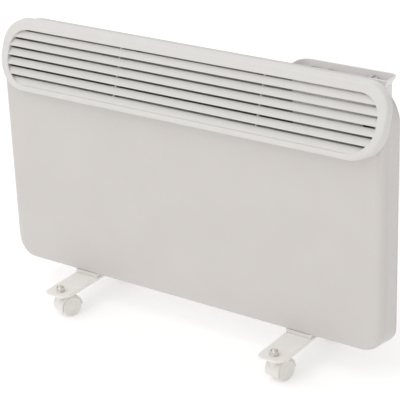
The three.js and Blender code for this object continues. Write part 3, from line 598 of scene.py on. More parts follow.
def brushed(stretch):
    """Sheet or bar metal with fine lines along one way."""
    return 0.3, 1, (30,), (1.4, 0.2, 0.42, 4, stretch), (0.5, 0.006, 3, stretch)


# Each kind has its roughness, its metallic part, its patches of colour (size, detail), its patches of
# roughness (size, from, to, detail, stretch) and its reliefs (size, depth, detail, stretch).
POWDER_COAT = (0.42, 0, (90,), (14, 0.38, 0.46), (160, 0.25, 1), (1.6, 0.012))  # orange peel on uneven sheet
GLOSSY = (0.2, 0, (12,), (5, 0.16, 0.26), (4, 0.01, 1))
PLATED = (0.34, 1, (2.2, 4), (1.2, 0.25, 0.5, 4), (0.4, 0.01, 3))  # mottled by its passivation
GALVANISED = (0.55, 0.15, (9, 3), (5, 0.45, 0.65), (3, 0.02))
STONEWARE = (0.62, 0, (5, 5), (2, 0.52, 0.72), (0.5, 0.03, 4))
BRAIDED = (0.75, 0, (2.5, 4), (), (0.7, 0.12, 1, (1, 1, 2.5)), (0.5, 0.1, 1, (2.5, 1, 1)))  # crossing strands
LENS = (0.12, 0, (3,), (), (1.5, 0.01))

PAINT = finish("casing_paint", POWDER_COAT, (0.634, 0.603, 0.577), (0.62, 0.589, 0.563))
# The casing's inside takes a dark copy of the paint: painted shade for the dim inside, seen through the
# grille and the vents.
CASING_INSIDE_PAINTED_SHADE = finish("casing_inside_painted_shade", POWDER_COAT, (0.3, 0.295, 0.286), (0.32, 0.315, 0.305))
# The feet take a lighter copy of the casing paint, to offset the shade that the casing casts on them: painted
# light.
FOOT_PAINT_PAINTED_LIGHT = finish("foot_paint", POWDER_COAT, (0.875, 0.855, 0.822), (0.855, 0.835, 0.802))
GRILLE = finish("grille_moulding", moulded(), (0.71, 0.691, 0.663), (0.696, 0.677, 0.649))
POD = finish("pod_moulding", moulded(), (0.82, 0.8, 0.775), (0.805, 0.785, 0.76))
# The collar's inner walls take a darker copy of the pod moulding: painted shade for the recess.
RECESS_PAINTED_SHADE = finish("recess_painted_shade", moulded(0.5, 0.7, 0.02), (0.7, 0.675, 0.66), (0.685, 0.66, 0.645))
FASCIA = finish("fascia_moulding", moulded(0.5, 0.7, 0.02), (0.44, 0.424, 0.414), (0.425, 0.41, 0.4))
SPACER = finish("spacer_moulding", moulded(), (0.8, 0.78, 0.745), (0.78, 0.76, 0.725))
DARK = finish("dark_moulding", moulded(0.45), (0.035, 0.035, 0.038), (0.05, 0.05, 0.052))
WHITE = finish("control_white", GLOSSY, (0.46, 0.445, 0.43), (0.45, 0.435, 0.42))
CASTOR = finish("castor_plastic", moulded(0.38, 1.4, 0.01), (0.82, 0.795, 0.755), (0.8, 0.775, 0.735))
ZINC = finish("zinc_plate", PLATED, (0.8, 0.765, 0.72), (0.66, 0.62, 0.58))
# The studs take a lighter copy of the zinc plate: a painted highlight, for the glint on their ends.
STUD_PAINTED_HIGHLIGHT = finish("zinc_stud_painted_highlight", PLATED, (0.92, 0.89, 0.85), (0.8, 0.76, 0.72))
STEEL = finish("steel", brushed((1, 1, 8)), (0.5, 0.5, 0.5), (0.42, 0.42, 0.43))
BRIGHT = finish("bright_sheet", GALVANISED, (0.8, 0.78, 0.755), (0.74, 0.72, 0.7))
FIN = finish("fin_aluminium", brushed((1, 8, 1)), (0.62, 0.62, 0.63), (0.5, 0.49, 0.48))
CERAMIC = finish("ceramic", STONEWARE, (0.66, 0.61, 0.5), (0.6, 0.54, 0.44))
AMBER = finish("amber_lens", LENS, (0.6, 0.16, 0.03), (0.52, 0.12, 0.02))
feed(AMBER.shader, Transmission_Weight=0.35, Coat_Weight=0.4)
SLEEVE = finish("lead_sleeve", BRAIDED, (0.4, 0.13, 0.05), (0.3, 0.09, 0.035))
MARK = finish("dial_mark", moulded(0.5), (0.32, 0.315, 0.31), (0.35, 0.345, 0.34))
SHARED_SLOTS = {"zinc_stud_painted_highlight": "zinc_plate", "dial_mark": "dark_moulding"}  # the others are named as their look


# ---- Casing and grille ----

FACE_LOW_Y = FRONT - GRILLE_PROUD
FACE = ((1, 0, 0, 0),
        (0, math.sin(TILT), -math.cos(TILT), FACE_LOW_Y),
        (0, math.cos(TILT), math.sin(TILT), GRILLE_FOOT))


def on_face(x, up, out):
    """A point given in the frame of the grille's face: along it, up it and out of it."""
    return tuple(row[0] * x + row[1] * up + row[2] * out + row[3] for row in FACE)


def face_y(z):
    return FACE_LOW_Y + (z - GRILLE_FOOT) * math.tan(TILT)


def seat_y(z):
    return face_y(z) + GRILLE_SEAT / math.cos(TILT)


def roll_over(points, plane_y, lean, roll_at):
    """Rings that roll from the side walls of an outline over to a front plane, and one ring on the plane."""
    rings = []
    front = Vector((0, -math.cos(lean), math.sin(lean)))
    for k in range(ROLL_STEPS + 1):
        ring = []
        for px, pz, nx, nz in points:
            roll = roll_at(nx)
            x, z = px - roll * nx, pz - roll * nz
            y = plane_y(z) + roll / math.cos(lean)
            outward = Vector((nx, 0, nz)).slerp(front, k / ROLL_STEPS)
            ring.append(Vector((x, y, z)) + roll * outward)
        rings.append(ring)
    flat = []
    for (_, _, nx, nz), last in zip(points, rings[-1]):
        x, z = last.x - ROLL_EDGE * nx, last.z - ROLL_EDGE * nz
        flat.append(Vector((x, plane_y(z), z)))
    return [*rings, flat]


def ring_at(points, y):
    return [(p[0], y(p[1]) if callable(y) else y, p[1]) for p in points]


def casing_outline(inset, bottom_radius=BOTTOM_REAR_RADIUS):
    radii = top_and_bottom(TOP_RADIUS - inset, bottom_radius - inset)
    return outline(-HALF + inset, HALF - inset, BOTTOM + inset, TOP - inset, radii)


def casing_solid(inset, rear):
    """The casing's outer shape: its lower corners are rounder on the face than at the back."""
    points = casing_outline(inset, BOTTOM_RADIUS)

    def roll(nx):
        return BOTTOM_ROLL + (SIDE_ROLL - BOTTOM_ROLL) * nx * nx - inset

    rings = roll_over(points, lambda z: FRONT + inset, 0, roll)
    return loft("solid", [ring_at(casing_outline(inset), rear), *rings])


def grille_solid(inset, rear):
    """The grille moulding's outer shape, from its face back past its seat on the casing."""
    span = (-HALF + inset, HALF - inset, GRILLE_FOOT + inset, TOP - inset)
    at_seat = outline(*span, top_and_bottom(GRILLE_TOP_RADIUS - inset, GRILLE_SEAT_RADIUS - inset))
    at_face = outline(*span, top_and_bottom(GRILLE_TOP_RADIUS - inset, GRILLE_LOW_RADIUS - inset))

    def plane(z):
        return face_y(z) + inset / math.cos(TILT)

    rings = roll_over(at_face, plane, TILT, lambda nx: GRILLE_ROLL - inset)
    return loft("solid", [ring_at(at_seat, rear),
                          ring_at(at_seat, lambda z: max(seat_y(z), FRONT - GAP)), *rings])


def in_front_of_seat(gap):
    """Everything in front of the surface where the grille sits, moved back by a gap."""
    front = FRONT - GAP + gap
    step_z = GRILLE_FOOT + (FRONT - gap - seat_y(GRILLE_FOOT)) / math.tan(TILT)
    far = FACE_LOW_Y - FAR
    high = TOP + FAR
    pairs = ((far, BOTTOM), (front, BOTTOM), (front, step_z), (seat_y(high) + gap, high), (far, high))
    return prism_x("seat", pairs, -2 * HALF, 2 * HALF)


def slot_rows(count, pitch, length, height, rows, through, flat=False):
    """Rows of slots along X, cut through in Y, or in Z where flat."""
    slots = []
    for row in rows:
        for i in range(count):
            x = (i - (count - 1) / 2) * pitch
            made = slot("slot", x, 0, length, height, through)
            if flat:
                turn(made, math.radians(90), "X")
                move(made, 0, row, 0)
            else:
                move(made, 0, 0, row)
            slots.append(made)
    return gather("slots", slots)


def rear_lug(x, z):
    """A lug inside the end wall that a rear screw bites into."""
    side = math.copysign(1, x)
    back = BACK - SHEET - GAP
    inner = side * (abs(x) - LUG_WIDTH / 2)
    wall = side * (HALF - SHEET / 2)
    clear = side * (HALF - SHEET - REAR_ROLL)
    z_span = about(z, LUG_HEIGHT)
    lug = block("lug", sorted((inner, wall)), (back - LUG_DEPTH, CASING_EDGE), z_span)
    return join(lug, block("lug", sorted((inner, clear)), (back - LUG_DEPTH, back), z_span))


def screw_places():
    """Middles of the rear screws' heads, from the frame."""
    places = []
    for i in range(1, 5):
        low, high = node_box(f"rear_screw_{i}")
        places.append(((low.x + high.x) / 2, (low.z + high.z) / 2))
    return places


def mark_painted_shade_inside(sheet):
    """Marks the faces on the inner side of the casing, so that they take the painted shade: a dark colour
    that stands for the dim inside.
    """
    middle = Vector((0, 0, (BOTTOM + TOP) / 2)) * MM
    inner_y = (BACK - SHEET + TOUCH) * MM
    for face in sheet.data.polygons:
        inward = face.normal.dot(face.center - middle) < 0
        face.material_index = 1 if inward and face.center.y <= inner_y else 0
    return sheet


def screw_holes(middle, low, high):
    """Cutters for one foot's two screws, right through from low to high."""
    span = (low - THROUGH, high + THROUGH)
    return [rod("hole", FOOT_SCREW_HOLE, span, (middle + dx, 0, 0), sides=24) for dx in FOOT_SCREWS]


def front_casing():
    shell = cut(casing_solid(0, CASING_EDGE), casing_solid(SHEET, CASING_EDGE + HOLLOW_REACH))
    cut(shell, keep(grille_solid(-SEAM, BACK), in_front_of_seat(SEAM)))
    above = (GRILLE_FOOT + GRILLE_SEAT_RADIUS, TOP + OUTSIDE)
    notch = block("notch", (-2 * HALF, 2 * HALF), (FRONT - OUTSIDE, BACK), above)
    cut(shell, keep(notch, in_front_of_seat(SEAM)))
    through = about(-BOTTOM, 2 * THROUGH)
    cut(shell, slot_rows(INLET_COUNT, INLET_PITCH, INLET_LENGTH, INLET_WIDTH, INLET_ROWS, through, flat=True))
    for side in (-1, 1):
        cut(shell, *screw_holes(side * FOOT_X, BOTTOM, BOTTOM))
    for x, z in screw_places():
        join(shell, rear_lug(x, z))
        cut(shell, rod("hole", REAR_SCREW_HOLE, (BACK - REAR_SCREW_DEPTH, BACK + 1), (x, 0, z), "y", 24))
    shell.name = "casing_front_shell"
    return mark_painted_shade_inside(smooth(shell))


def outlet_outline(grow, out):
    """The outlet's opening in the frame of the face, grown by an amount, at a height out of the face."""
    radii = top_and_bottom(OUTLET_TOP_RADIUS + grow, OUTLET_LOW_RADIUS + grow)
    points = outline(-OUTLET_HALF - grow, OUTLET_HALF + grow, OUTLET_LOW - grow, OUTLET_HIGH + grow, radii)
    return [on_face(p[0], p[1], out) for p in points]


def outlet_plug(grow, depth, out=0):
    """The outlet's opening as a solid, grown by an amount, from a depth in the face out to a height."""
    return loft("plug", [outlet_outline(grow, -depth), outlet_outline(grow, out)])


def outlet_cutter():
    """The opening, flaring out in a small radius where it meets the face."""
    rings = [outlet_outline(0, -OUTLET_WALL_DEPTH - 1)]
    for grow, out in arc(OUTLET_LIP, 180, 90, 6, (OUTLET_LIP, -OUTLET_LIP)):
        rings.append(outlet_outline(grow, out))
    rings.append(outlet_outline(OUTLET_LIP, GRILLE_ROLL))
    return loft("opening", rings)


def slat(index):
    """One slat: a thin strip with round edges that leans in towards its upper edge."""
    low = OUTLET_LOW + index * SLAT_PITCH
    edge = SLAT_THICK / 2
    lean = math.degrees(math.atan2(SLAT_LEAN, SLAT_HEIGHT))
    lower = (low + edge, -SLAT_EDGE_DEPTH - edge)
    upper = (low + SLAT_HEIGHT - edge, -SLAT_EDGE_DEPTH - SLAT_LEAN - edge)
    pairs = arc(edge, 90 - lean, 270 - lean, 8, lower) + arc(edge, 270 - lean, 450 - lean, 8, upper)
    rings = [[on_face(x, up, out) for up, out in pairs] for x in (-HALF, HALF)]
    return loft("slat", rings)


def rib(x):
    """An upright web behind the slats, from the lower edge of the opening to the upper one."""
    left, right = about(x, RIB_THICK)
    base = ((left, OUTLET_LOW), (right, OUTLET_LOW), (right, OUTLET_HIGH), (left, OUTLET_HIGH))
    return loft("rib", [[on_face(px, up, out) for px, up in base] for out in (-RIB_DEPTH, -SLAT_LEAN)])


def outlet_grille():
    """The moulding is solid where its corners reach out past the rounder corners of the casing."""
    edge = casing_outline(GRILLE_WALL / 2)
    core = loft("core", [ring_at(edge, BACK + THROUGH), ring_at(edge, FACE_LOW_Y - OUTSIDE)])
    shell = cut(grille_solid(0, BACK), keep(grille_solid(GRILLE_WALL, BACK + 1), core))
    keep(shell, in_front_of_seat(0))
    cut(shell, outlet_cutter())
    wall = outlet_plug(OUTLET_WALL, OUTLET_WALL_DEPTH, -OUTLET_LIP)
    join(shell, cut(wall, outlet_plug(0, OUTLET_WALL_DEPTH + 1)))
    slats = gather("slats", [slat(i) for i in range(SLAT_COUNT)])
    for inside in (slats, *map(rib, RIB_PLACES)):
        join(shell, keep(inside, outlet_plug(OUTLET_WALL / 2, RIB_DEPTH + 1)))
    shell.name = "outlet_grille_moulding"
    return smooth(shell)


def hook_pocket(x, z):
    """A shallow cup behind a keyhole that closes it off from the hot room inside."""
    floor = BACK - SHEET - POCKET_DEPTH
    low, high = z - POCKET_WIDTH / 2, z + HOOK_RISE + (POCKET_WIDTH - HOOK_SLOT) / 2
    cup = block("cup", about(x, POCKET_WIDTH), (floor, BACK - SHEET / 2), (low, high))
    room = about(x, POCKET_WIDTH - 2 * SHEET)
    return cut(cup, block("inside", room, (floor + SHEET, BACK), (low + SHEET, high - SHEET)))


def rear_pan():
    def back_rings(inset):
        rings = roll_over(casing_outline(inset), lambda z: -BACK + inset, 0, lambda nx: REAR_ROLL - inset)
        return [[(p.x, -p.y, p.z) for p in ring] for ring in reversed(rings)]

    pan = loft("rear_pan", [*back_rings(0), ring_at(casing_outline(0), PAN_EDGE)])
    cut(pan, loft("hollow", [*back_rings(SHEET), ring_at(casing_outline(SHEET), PAN_EDGE - OUTSIDE)]))
    through = about(BACK, 2 * THROUGH)
    cut(pan, slot_rows(VENT_COUNT, VENT_PITCH, VENT_LENGTH, VENT_HEIGHT, VENT_ROWS, through))
    for x, z in HOOK_PLACES:
        if z > GRILLE_FOOT:
            join(pan, hook_pocket(x, z))
        neck = slot("neck", 0, 0, HOOK_RISE + HOOK_SLOT, HOOK_SLOT, through)
        turn(neck, math.radians(90), "Y")
        move(neck, x, 0, z + (HOOK_RISE - HOOK_SLOT) / 2 + HOOK_SLOT / 4)
        cut(pan, rod("hole", HOOK_RADIUS, through, (x, 0, z), "y"), neck)
    cut(pan, rod("hole", LOOM_HOLE, through, (LOOM_PLACE[0], 0, LOOM_PLACE[1]), "y"))
    for x, z in screw_places():
        cut(pan, rod("hole", REAR_SCREW_HOLE, through, (x, 0, z), "y", 24))
    return mark_painted_shade_inside(smooth(pan))


def screw_head(name, radius, height, seat, centre, axis, way):
    """A pan head with a cross recess. It points along an axis, one way or the other."""
    rim = height * SCREW_RIM
    profile = [(radius, 0), (radius, rim)]
    for c, s in arc(1, 0, 90, 6)[1:]:
        profile.append((radius * (SCREW_CROWN + (1 - SCREW_CROWN) * c), rim + (height - rim) * s))
    head = turned(name, [(r, seat + way * h) for r, h in profile], centre, axis)
    top = seat + way * height
    depth = sorted((top - way * height * CROSS_DEPTH, top + way))
    wide, thin = 2 * radius * CROSS_LENGTH, 2 * radius * CROSS_THICK
    for a, b in ((wide, thin), (thin, wide)):
        across = about(centre[0], a)
        if axis == "y":
            cut(head, block("cross", across, depth, about(centre[2], b)))
        else:
            cut(head, block("cross", across, about(centre[1], b), depth))
    return head


def rear_screw(index, x, z):
    node = f"rear_screw_{index}"
    low, high = node_box(node)
    seat, centre = BACK + GAP, (x, 0, z)
    screw = screw_head(f"{node}_plated", (high.x - low.x) / 2, high.y - seat, seat, centre, "y", 1)
    join(screw, rod("shank", REAR_SHANK, (low.y, seat + SHANK_SINK), centre, "y", 32))
    return place(smooth(screw), ZINC, node)


place(front_casing(), PAINT, "front_casing", painted_shade_look=CASING_INSIDE_PAINTED_SHADE)
place(outlet_grille(), GRILLE, "outlet_grille")
place(rear_pan(), PAINT, "rear_panel", painted_shade_look=CASING_INSIDE_PAINTED_SHADE)
for number, (screw_x, screw_z) in enumerate(screw_places(), 1):
    rear_screw(number, screw_x, screw_z)


# ---- Control pod ----


def pod_outline(inset, front_inset):
    """The pod seen from above, with nearly square corners against the casing."""
    back = [max(radius - inset, POD_LEAST_RADIUS) for radius in (POD_RIGHT_RADIUS, POD_LEFT_RADIUS)]
    span = (POD_LEFT + inset, POD_RIGHT - inset, POD_FRONT + front_inset, POD_BACK - inset)
    return outline(*span, (POD_FRONT_RADIUS, *back, POD_FRONT_RADIUS), 12)


def pod_ring(inset, front_inset, z):
    return level_ring(pod_outline(inset, front_inset), z)


def pod_housing():
    rings = []
    for inward, up in arc(POD_ROLL, 180, 90, 5, (POD_ROLL, POD_ROLL))[::-1]:
        rings.append(pod_ring(COLLAR_FLARE + inward, 0, POD_FLOOR + POD_ROLL - up))
    rings.append(pod_ring(COLLAR_FLARE, 0, COLLAR_LOW - GAP))
    inset = COLLAR_FLARE + POD_WALL
    box = loft("pod_box", rings)
    cut(box, loft("hollow", [pod_ring(inset, POD_WALL, z) for z in (POD_FLOOR + POD_WALL, TOP)]))
    floor_span, front_span = ((low - 1, low + POD_WALL + 1) for low in (POD_FLOOR, POD_FRONT))
    cut(box, rod("hole", GLAND_RADIUS, floor_span, (GLAND_X, POD_MIDDLE, 0)))
    cut(box, rod("hole", LOOM_HOLE, front_span, (LOOM_PLACE[0], 0, LOOM_PLACE[1]), "y"))
    return smooth(box)


def pod_collar():
    """The flared collar: an eased flare, a rounded rim, a drafted recess and the fascia's ledge."""
    rings = []
    for i in range(COLLAR_STEPS + 1):
        share = i / COLLAR_STEPS
        flare = COLLAR_FLARE * (1 - share ** COLLAR_EASE)
        rings.append(pod_ring(flare, 0, COLLAR_LOW + COLLAR_RISE * share))
    rim = COLLAR_WALL / 2
    for inward, up in arc(rim, 180, 0, 10, (rim, 0)):
        rings.append(pod_ring(inward, inward, POD_TOP - rim + up))
    floor = FASCIA_LOW - GAP
    rings.append(pod_ring(RECESS_INSET, RECESS_FRONT, floor))
    rings.append(pod_ring(COLLAR_LEDGE, COLLAR_LEDGE_FRONT, floor))
    rings.append(pod_ring(COLLAR_LEDGE, COLLAR_LEDGE_FRONT, COLLAR_LOW))
    collar = smooth(loft("pod_collar_flared", rings, closed=True))
    # Faces that look in, below the rim, take the second look: painted shade for the recess.
    middle = Vector(((POD_LEFT + POD_RIGHT) / 2, POD_MIDDLE, 0)) * MM
    for face in collar.data.polygons:
        inward = (face.center - middle).xy.dot(face.normal.xy) < 0
        face.material_index = 1 if inward and face.center.z < (POD_TOP - COLLAR_WALL) * MM else 0
    return collar


def pod_block(name, x, width, length, low, high):
    """A block on the middle line of the pod, by its place, width, length and heights."""
    return block(name, about(x, width), about(POD_MIDDLE, length), (low, high))


def control_fascia():
    inset, front = RECESS_INSET + GAP, RECESS_FRONT + GAP
    rings = [pod_ring(inset, front, FASCIA_LOW), pod_ring(inset, front, FASCIA_TOP - FASCIA_EDGE),
             pod_ring(inset + FASCIA_EDGE, front + FASCIA_EDGE, FASCIA_TOP)]
    plate = loft("fascia_plate", rings)
    through = (FASCIA_LOW - 1, FASCIA_TOP + 1)
    for x in SWITCH_PLACES.values():
        cut(plate, pod_block("hole", x, SWITCH_WIDTH + 2 * GAP, SWITCH_LENGTH + 2 * GAP, *through))
    for x, radius in ((KNOB_X, SHAFT_RADIUS), (NEON_X, NEON_RADIUS)):
        cut(plate, rod("hole", radius + GAP, through, (x, POD_MIDDLE, 0)))
    return smooth(plate)


def switch_frame(side, x):
    """A switch's body with its rounded frame on the fascia and a pocket for the rocker."""
    low = FASCIA_LOW - SWITCH_DEPTH
    body = pod_block(f"switch_{side}_frame", x, SWITCH_WIDTH, SWITCH_LENGTH, low, FASCIA_TOP + 1)
    wide, long = SWITCH_WIDTH / 2 + SWITCH_BEZEL, SWITCH_LENGTH / 2 + SWITCH_BEZEL
    edge = outline(x - wide, x + wide, POD_MIDDLE - long, POD_MIDDLE + long, (BEZEL_RADIUS,) * 4, 6)
    rings = [level_ring(edge, FASCIA_TOP + GAP)]
    for inward, up in arc(BEZEL_ROLL, 180, 90, 4, (BEZEL_ROLL, -BEZEL_ROLL)):
        rings.append(level_ring(edge, SWITCH_TOP + up, inward))
    join(body, loft("bezel", rings))
    floor = ROCKER_PIVOT - ROCKER_RADIUS - ROCKER_GAP
    wide, long = ROCKER_WIDTH + 2 * ROCKER_GAP, ROCKER_LENGTH + 2 * SWITCH_ROOM
    cut(body, pod_block("pocket", x, wide, long, floor, SWITCH_TOP + 1))
    return place(smooth(body), FASCIA, f"switch_body_{side}")


def tipped(pairs):
    """Pairs about the rocker's pivot, turned to where it rests."""
    c, s = math.cos(ROCKER_TIP), math.sin(ROCKER_TIP)
    return [(POD_MIDDLE + y * c - z * s, ROCKER_PIVOT + y * s + z * c) for y, z in pairs]


def rocker_height(y):
    """The rocker's top above its pivot: dished between its two tips."""
    return ROCKER_RISE - ROCKER_DIP * (1 - abs(y) / (ROCKER_LENGTH / 2)) ** ROCKER_BOW


def rocker(side, x):
    pairs = arc(ROCKER_RADIUS, 200, 340, 20)
    for k in range(ROCKER_STEPS, -ROCKER_STEPS - 1, -1):
        y = ROCKER_LENGTH / 2 * k / ROCKER_STEPS
        pairs.append((y, rocker_height(y)))
    made = prism_x(f"rocker_{side}_cap", tipped(pairs), *about(x, ROCKER_WIDTH))
    bevel(made, ROCKER_EDGE, 3)
    place(smooth(made), WHITE, f"switch_rocker_{side}", body=f"rocker_{side}")
    rocker_marks(side, x)


def rocker_marks(side, x):
    """A bar at one end of the rocker and a ring at the other, standing up a little."""
    low, high = (rocker_height(MARK_PLACE) + up for up in (-MARK_SUNK, MARK_PROUD))
    near, far = about(MARK_PLACE, BAR_LENGTH)
    corners = tipped([(near, low), (far, low), (far, high), (near, high)])
    bar = prism_x("bar", corners, *about(x, BAR_THICK))
    profile = [(RING_INSIDE, low), (RING_OUTSIDE, low), (RING_OUTSIDE, high), (RING_INSIDE, high)]
    ring = lathe("ring", profile, (0, -MARK_PLACE, 0), sides=32)
    turn(ring, ROCKER_TIP, "X")
    move(ring, x, POD_MIDDLE, ROCKER_PIVOT)
    marks = gather(f"rocker_{side}_marks", [bar, ring])
    place(smooth(marks), MARK, body=f"rocker_{side}")


def neon():
    low, high = node_box("neon_lens")
    brim = FASCIA_TOP + GAP
    shoulder = brim + 2 * NEON_EDGE
    wide = NEON_RADIUS + NEON_BRIM
    profile = [(NEON_RADIUS, low.z), (NEON_RADIUS, brim), (wide, brim)]
    profile += arc(NEON_EDGE, 0, 90, 4, (wide - NEON_EDGE, brim + NEON_EDGE))
    profile += [(NEON_DOME * c, shoulder + (high.z - shoulder) * s) for c, s in arc(1, 0, 80, 8)]
    profile.append((0, high.z))
    dome = turned("neon_dome", profile, (NEON_X, POD_MIDDLE, 0))
    return place(smooth(dome), AMBER, "neon_lens")


def knob():
    """A fluted disc with a raised grip across it and a pointer line."""
    top = KNOB_LOW + KNOB_DISC
    edge = arc(KNOB_EDGE, 0, 90, 5, (KNOB_RADIUS - KNOB_EDGE, top - KNOB_EDGE))
    middle = (KNOB_X, POD_MIDDLE, 0)
    disc = turned("knob_cap", [(KNOB_RADIUS, KNOB_LOW), *edge], middle, sides=96)
    flutes = []
    for x, y in arc(KNOB_RADIUS + FLUTE_OUT, 0, 360, FLUTE_COUNT, middle)[:-1]:
        flutes.append(rod("flute", FLUTE_RADIUS, (KNOB_LOW - 1, KNOB_TOP), (x, y, 0), sides=16))
    cut(disc, gather("flutes", flutes))
    reach = KNOB_RADIUS - GRIP_END
    grip = pod_block("grip", KNOB_X, GRIP_THICK, 2 * reach, KNOB_LOW + 1, KNOB_TOP)
    join(disc, bevel(grip, GRIP_EDGE, 4))
    cut(disc, rod("bore", SHAFT_RADIUS + GAP, (KNOB_LOW - 1, KNOB_LOW + KNOB_BORE), middle))
    place(smooth(disc), WHITE, "thermostat_knob", body="knob")
    along = (POD_MIDDLE - reach + POINTER_REACH[1], POD_MIDDLE - POINTER_REACH[0])
    stands = [KNOB_TOP + up for up in POINTER_STANDS]
    line = block("knob_pointer", about(KNOB_X, POINTER_THICK), along, stands)
    place(smooth(line), MARK, body="knob")


def dial_ticks():
    """Short raised strokes round the knob, thicker at the two ends of its travel."""
    strokes = []
    for i in range(TICK_COUNT):
        angle = math.radians(-90 - TICK_SWEEP * i / (TICK_COUNT - 1))
        wide = TICK_END_HALF if i in (0, TICK_COUNT - 1) else TICK_HALF
        reach = (KNOB_RADIUS + TICK_FROM, KNOB_RADIUS + TICK_TO)
        stroke = block("tick", reach, (-wide, wide), TICK_STANDS)
        turn(stroke, angle, "Z")
        move(stroke, KNOB_X, POD_MIDDLE, FASCIA_TOP)
        strokes.append(stroke)
    return place(smooth(gather("dial_ticks", strokes)), MARK)


def gland():
    low, high = node_box("cable_gland")
    rim = POD_FLOOR - GAP
    neck, brim = GLAND_RADIUS - GAP, GLAND_RADIUS + GLAND_BRIM
    edge = 0.4
    profile = [(GLAND_BORE, low.z), (GLAND_RADIUS - 1.5, low.z), (GLAND_RADIUS - 1, low.z + 0.5),
               (brim - edge, rim - GLAND_BRIM - edge), (brim, rim - GLAND_BRIM), (brim, rim - edge),
               (brim - edge, rim), (neck, rim), (neck, high.z), (GLAND_BORE, high.z)]
    made = lathe("cable_gland_turned", profile, (GLAND_X, POD_MIDDLE, 0))
    return place(smooth(made), DARK, "cable_gland")


place(pod_housing(), POD, "pod_housing")
place(pod_collar(), POD, "pod_collar", painted_shade_look=RECESS_PAINTED_SHADE)
place(control_fascia(), FASCIA, "control_fascia")
for switch_side, switch_x in SWITCH_PLACES.items():
    switch_frame(switch_side, switch_x)
    rocker(switch_side, switch_x)
neon()
knob()
dial_ticks()
gland()


# ---- Feet and castors ----


def foot(side, x):
    """A bar with a softly rolled top edge and turned-down long edges."""
    wide, long = FOOT_WIDTH / 2, FOOT_LENGTH / 2
    points = outline(x - wide, x + wide, -long, long, (FOOT_RADIUS,) * 4, 12)
    low = FOOT_TOP - FOOT_SHEET
    rings = [level_ring(points, low)]
    for inward, up in arc(FOOT_ROLL, 180, 90, 6, (FOOT_ROLL, -FOOT_ROLL)):
        rings.append(level_ring(points, FOOT_TOP + up, inward))
    rings.append(level_ring(points, FOOT_TOP, FOOT_ROLL + 1))
    plate = loft(f"foot_{side}_bar", rings)
    run = long - FOOT_RADIUS
    for way in (-1, 1):
        edges = sorted((x + way * wide, x + way * (wide - FOOT_FLANGE)))
        join(plate, block("flange", edges, (-run, run), (FOOT_LOW, FOOT_TOP - FOOT_ROLL)))
    for y in (-CASTOR_Y, CASTOR_Y):
        cut(plate, rod("hole", FOOT_HOLE, (low - 1, FOOT_TOP + 1), (x, y, 0)))
    cut(plate, *screw_holes(x, low, FOOT_TOP))
    return place(smooth(plate), FOOT_PAINT_PAINTED_LIGHT, f"foot_{side}")


def foot_spacer(side):
    low, high = node_box(f"foot_spacer_{side}")
    made = bevel(block(f"foot_{side}_spacer", (low.x, high.x), (low.y, high.y), (low.z, high.z)), SPACER_EDGE)
    cut(made, *screw_holes((low.x + high.x) / 2, low.z, high.z))
    return place(smooth(made), SPACER, f"foot_spacer_{side}")


def foot_screw(side, number):
    node = f"foot_screw_{side}_{number}"
    low, high = node_box(node)
    centre = ((low.x + high.x) / 2, (low.y + high.y) / 2, 0)
    seat = FOOT_TOP - FOOT_SHEET - GAP
    made = screw_head(f"{node}_plated", (high.x - low.x) / 2, seat - low.z, seat, centre, "z", -1)
    join(made, rod("shank", FOOT_SHANK, (seat - SHANK_SINK, high.z), centre, sides=32))
    return place(smooth(made), ZINC, node)


def hood():
    """The swivelling fork: an arched hood with round edges, a web between the wheels and a boss."""
    inner = WHEEL_RADIUS + HOOD_ROOM
    edge = HOOD_SHEET / 2
    section = []
    for across, start in ((HOOD_WIDTH / 2 - edge, -90), (edge - HOOD_WIDTH / 2, 90)):
        section += arc(edge, start, start + 180, 6, (across, inner + edge))
    hub = (0, CASTOR_TRAIL, WHEEL_RADIUS)
    rings = []
    for y, z in arc(1, HOOD_FROM, HOOD_TO, HOOD_STEPS):
        rings.append([(across, hub[1] + radius * y, hub[2] + radius * z) for across, radius in section])
    arch = loft("hood", rings)
    web = arc(inner + WEB_SINK, HOOD_FROM, HOOD_TO, 30, hub[1:])
    web += arc(WEB_RADIUS, HOOD_TO, HOOD_FROM + 360, 24, hub[1:])
    join(arch, prism_x("web", web, *about(0, WEB_WIDTH)))
    boss = turned("boss", [(BOSS_RADIUS, BOSS_LOW), (BOSS_RADIUS, BOSS_TOP - BOSS_EDGE),
                           (BOSS_RADIUS - BOSS_EDGE, BOSS_TOP)])
    for side in (-1, 1):
        cut(boss, rod("well", inner, sorted((side * WEB_WIDTH / 2, side * HOOD_WIDTH)), hub, "x", 96))
    join(arch, boss)
    cut(arch, rod("hole", AXLE_RADIUS + GAP, (-WEB_WIDTH, WEB_WIDTH), hub, "x"))
    cut(arch, rod("bore", STUD_RADIUS + GAP, (STUD_LOW - GAP, BOSS_TOP + 1)))
    return arch


def wheel(side):
    """A wheel with a rounded tread, a raised rim round a shallow dish, and a ring and hub cap in the dish."""
    inner, outer = WHEEL_GAP / 2, WHEEL_GAP / 2 + WHEEL_WIDTH
    bore = AXLE_RADIUS + GAP
    dish, floor = outer - WHEEL_DISH, outer - WHEEL_FLOOR
    edge = WHEEL_RADIUS - WHEEL_TREAD
    profile = [(bore, inner), (edge, inner)]
    profile += arc(WHEEL_TREAD, -90, 0, 6, (edge, inner + WHEEL_TREAD))
    profile += arc(WHEEL_TREAD, 0, 90, 6, (edge, outer - WHEEL_TREAD))
    profile += [(WHEEL_RADIUS - inward, outer - down) for inward, down in WHEEL_RIM]
    profile += [(radius, dish - down) for radius, down in WHEEL_GROOVE]
    profile += [(0, dish), (0, floor), (bore, floor)]
    placed = [(radius, side * along) for radius, along in profile]
    return lathe("wheel", placed, (0, CASTOR_TRAIL, WHEEL_RADIUS), "x", 72)


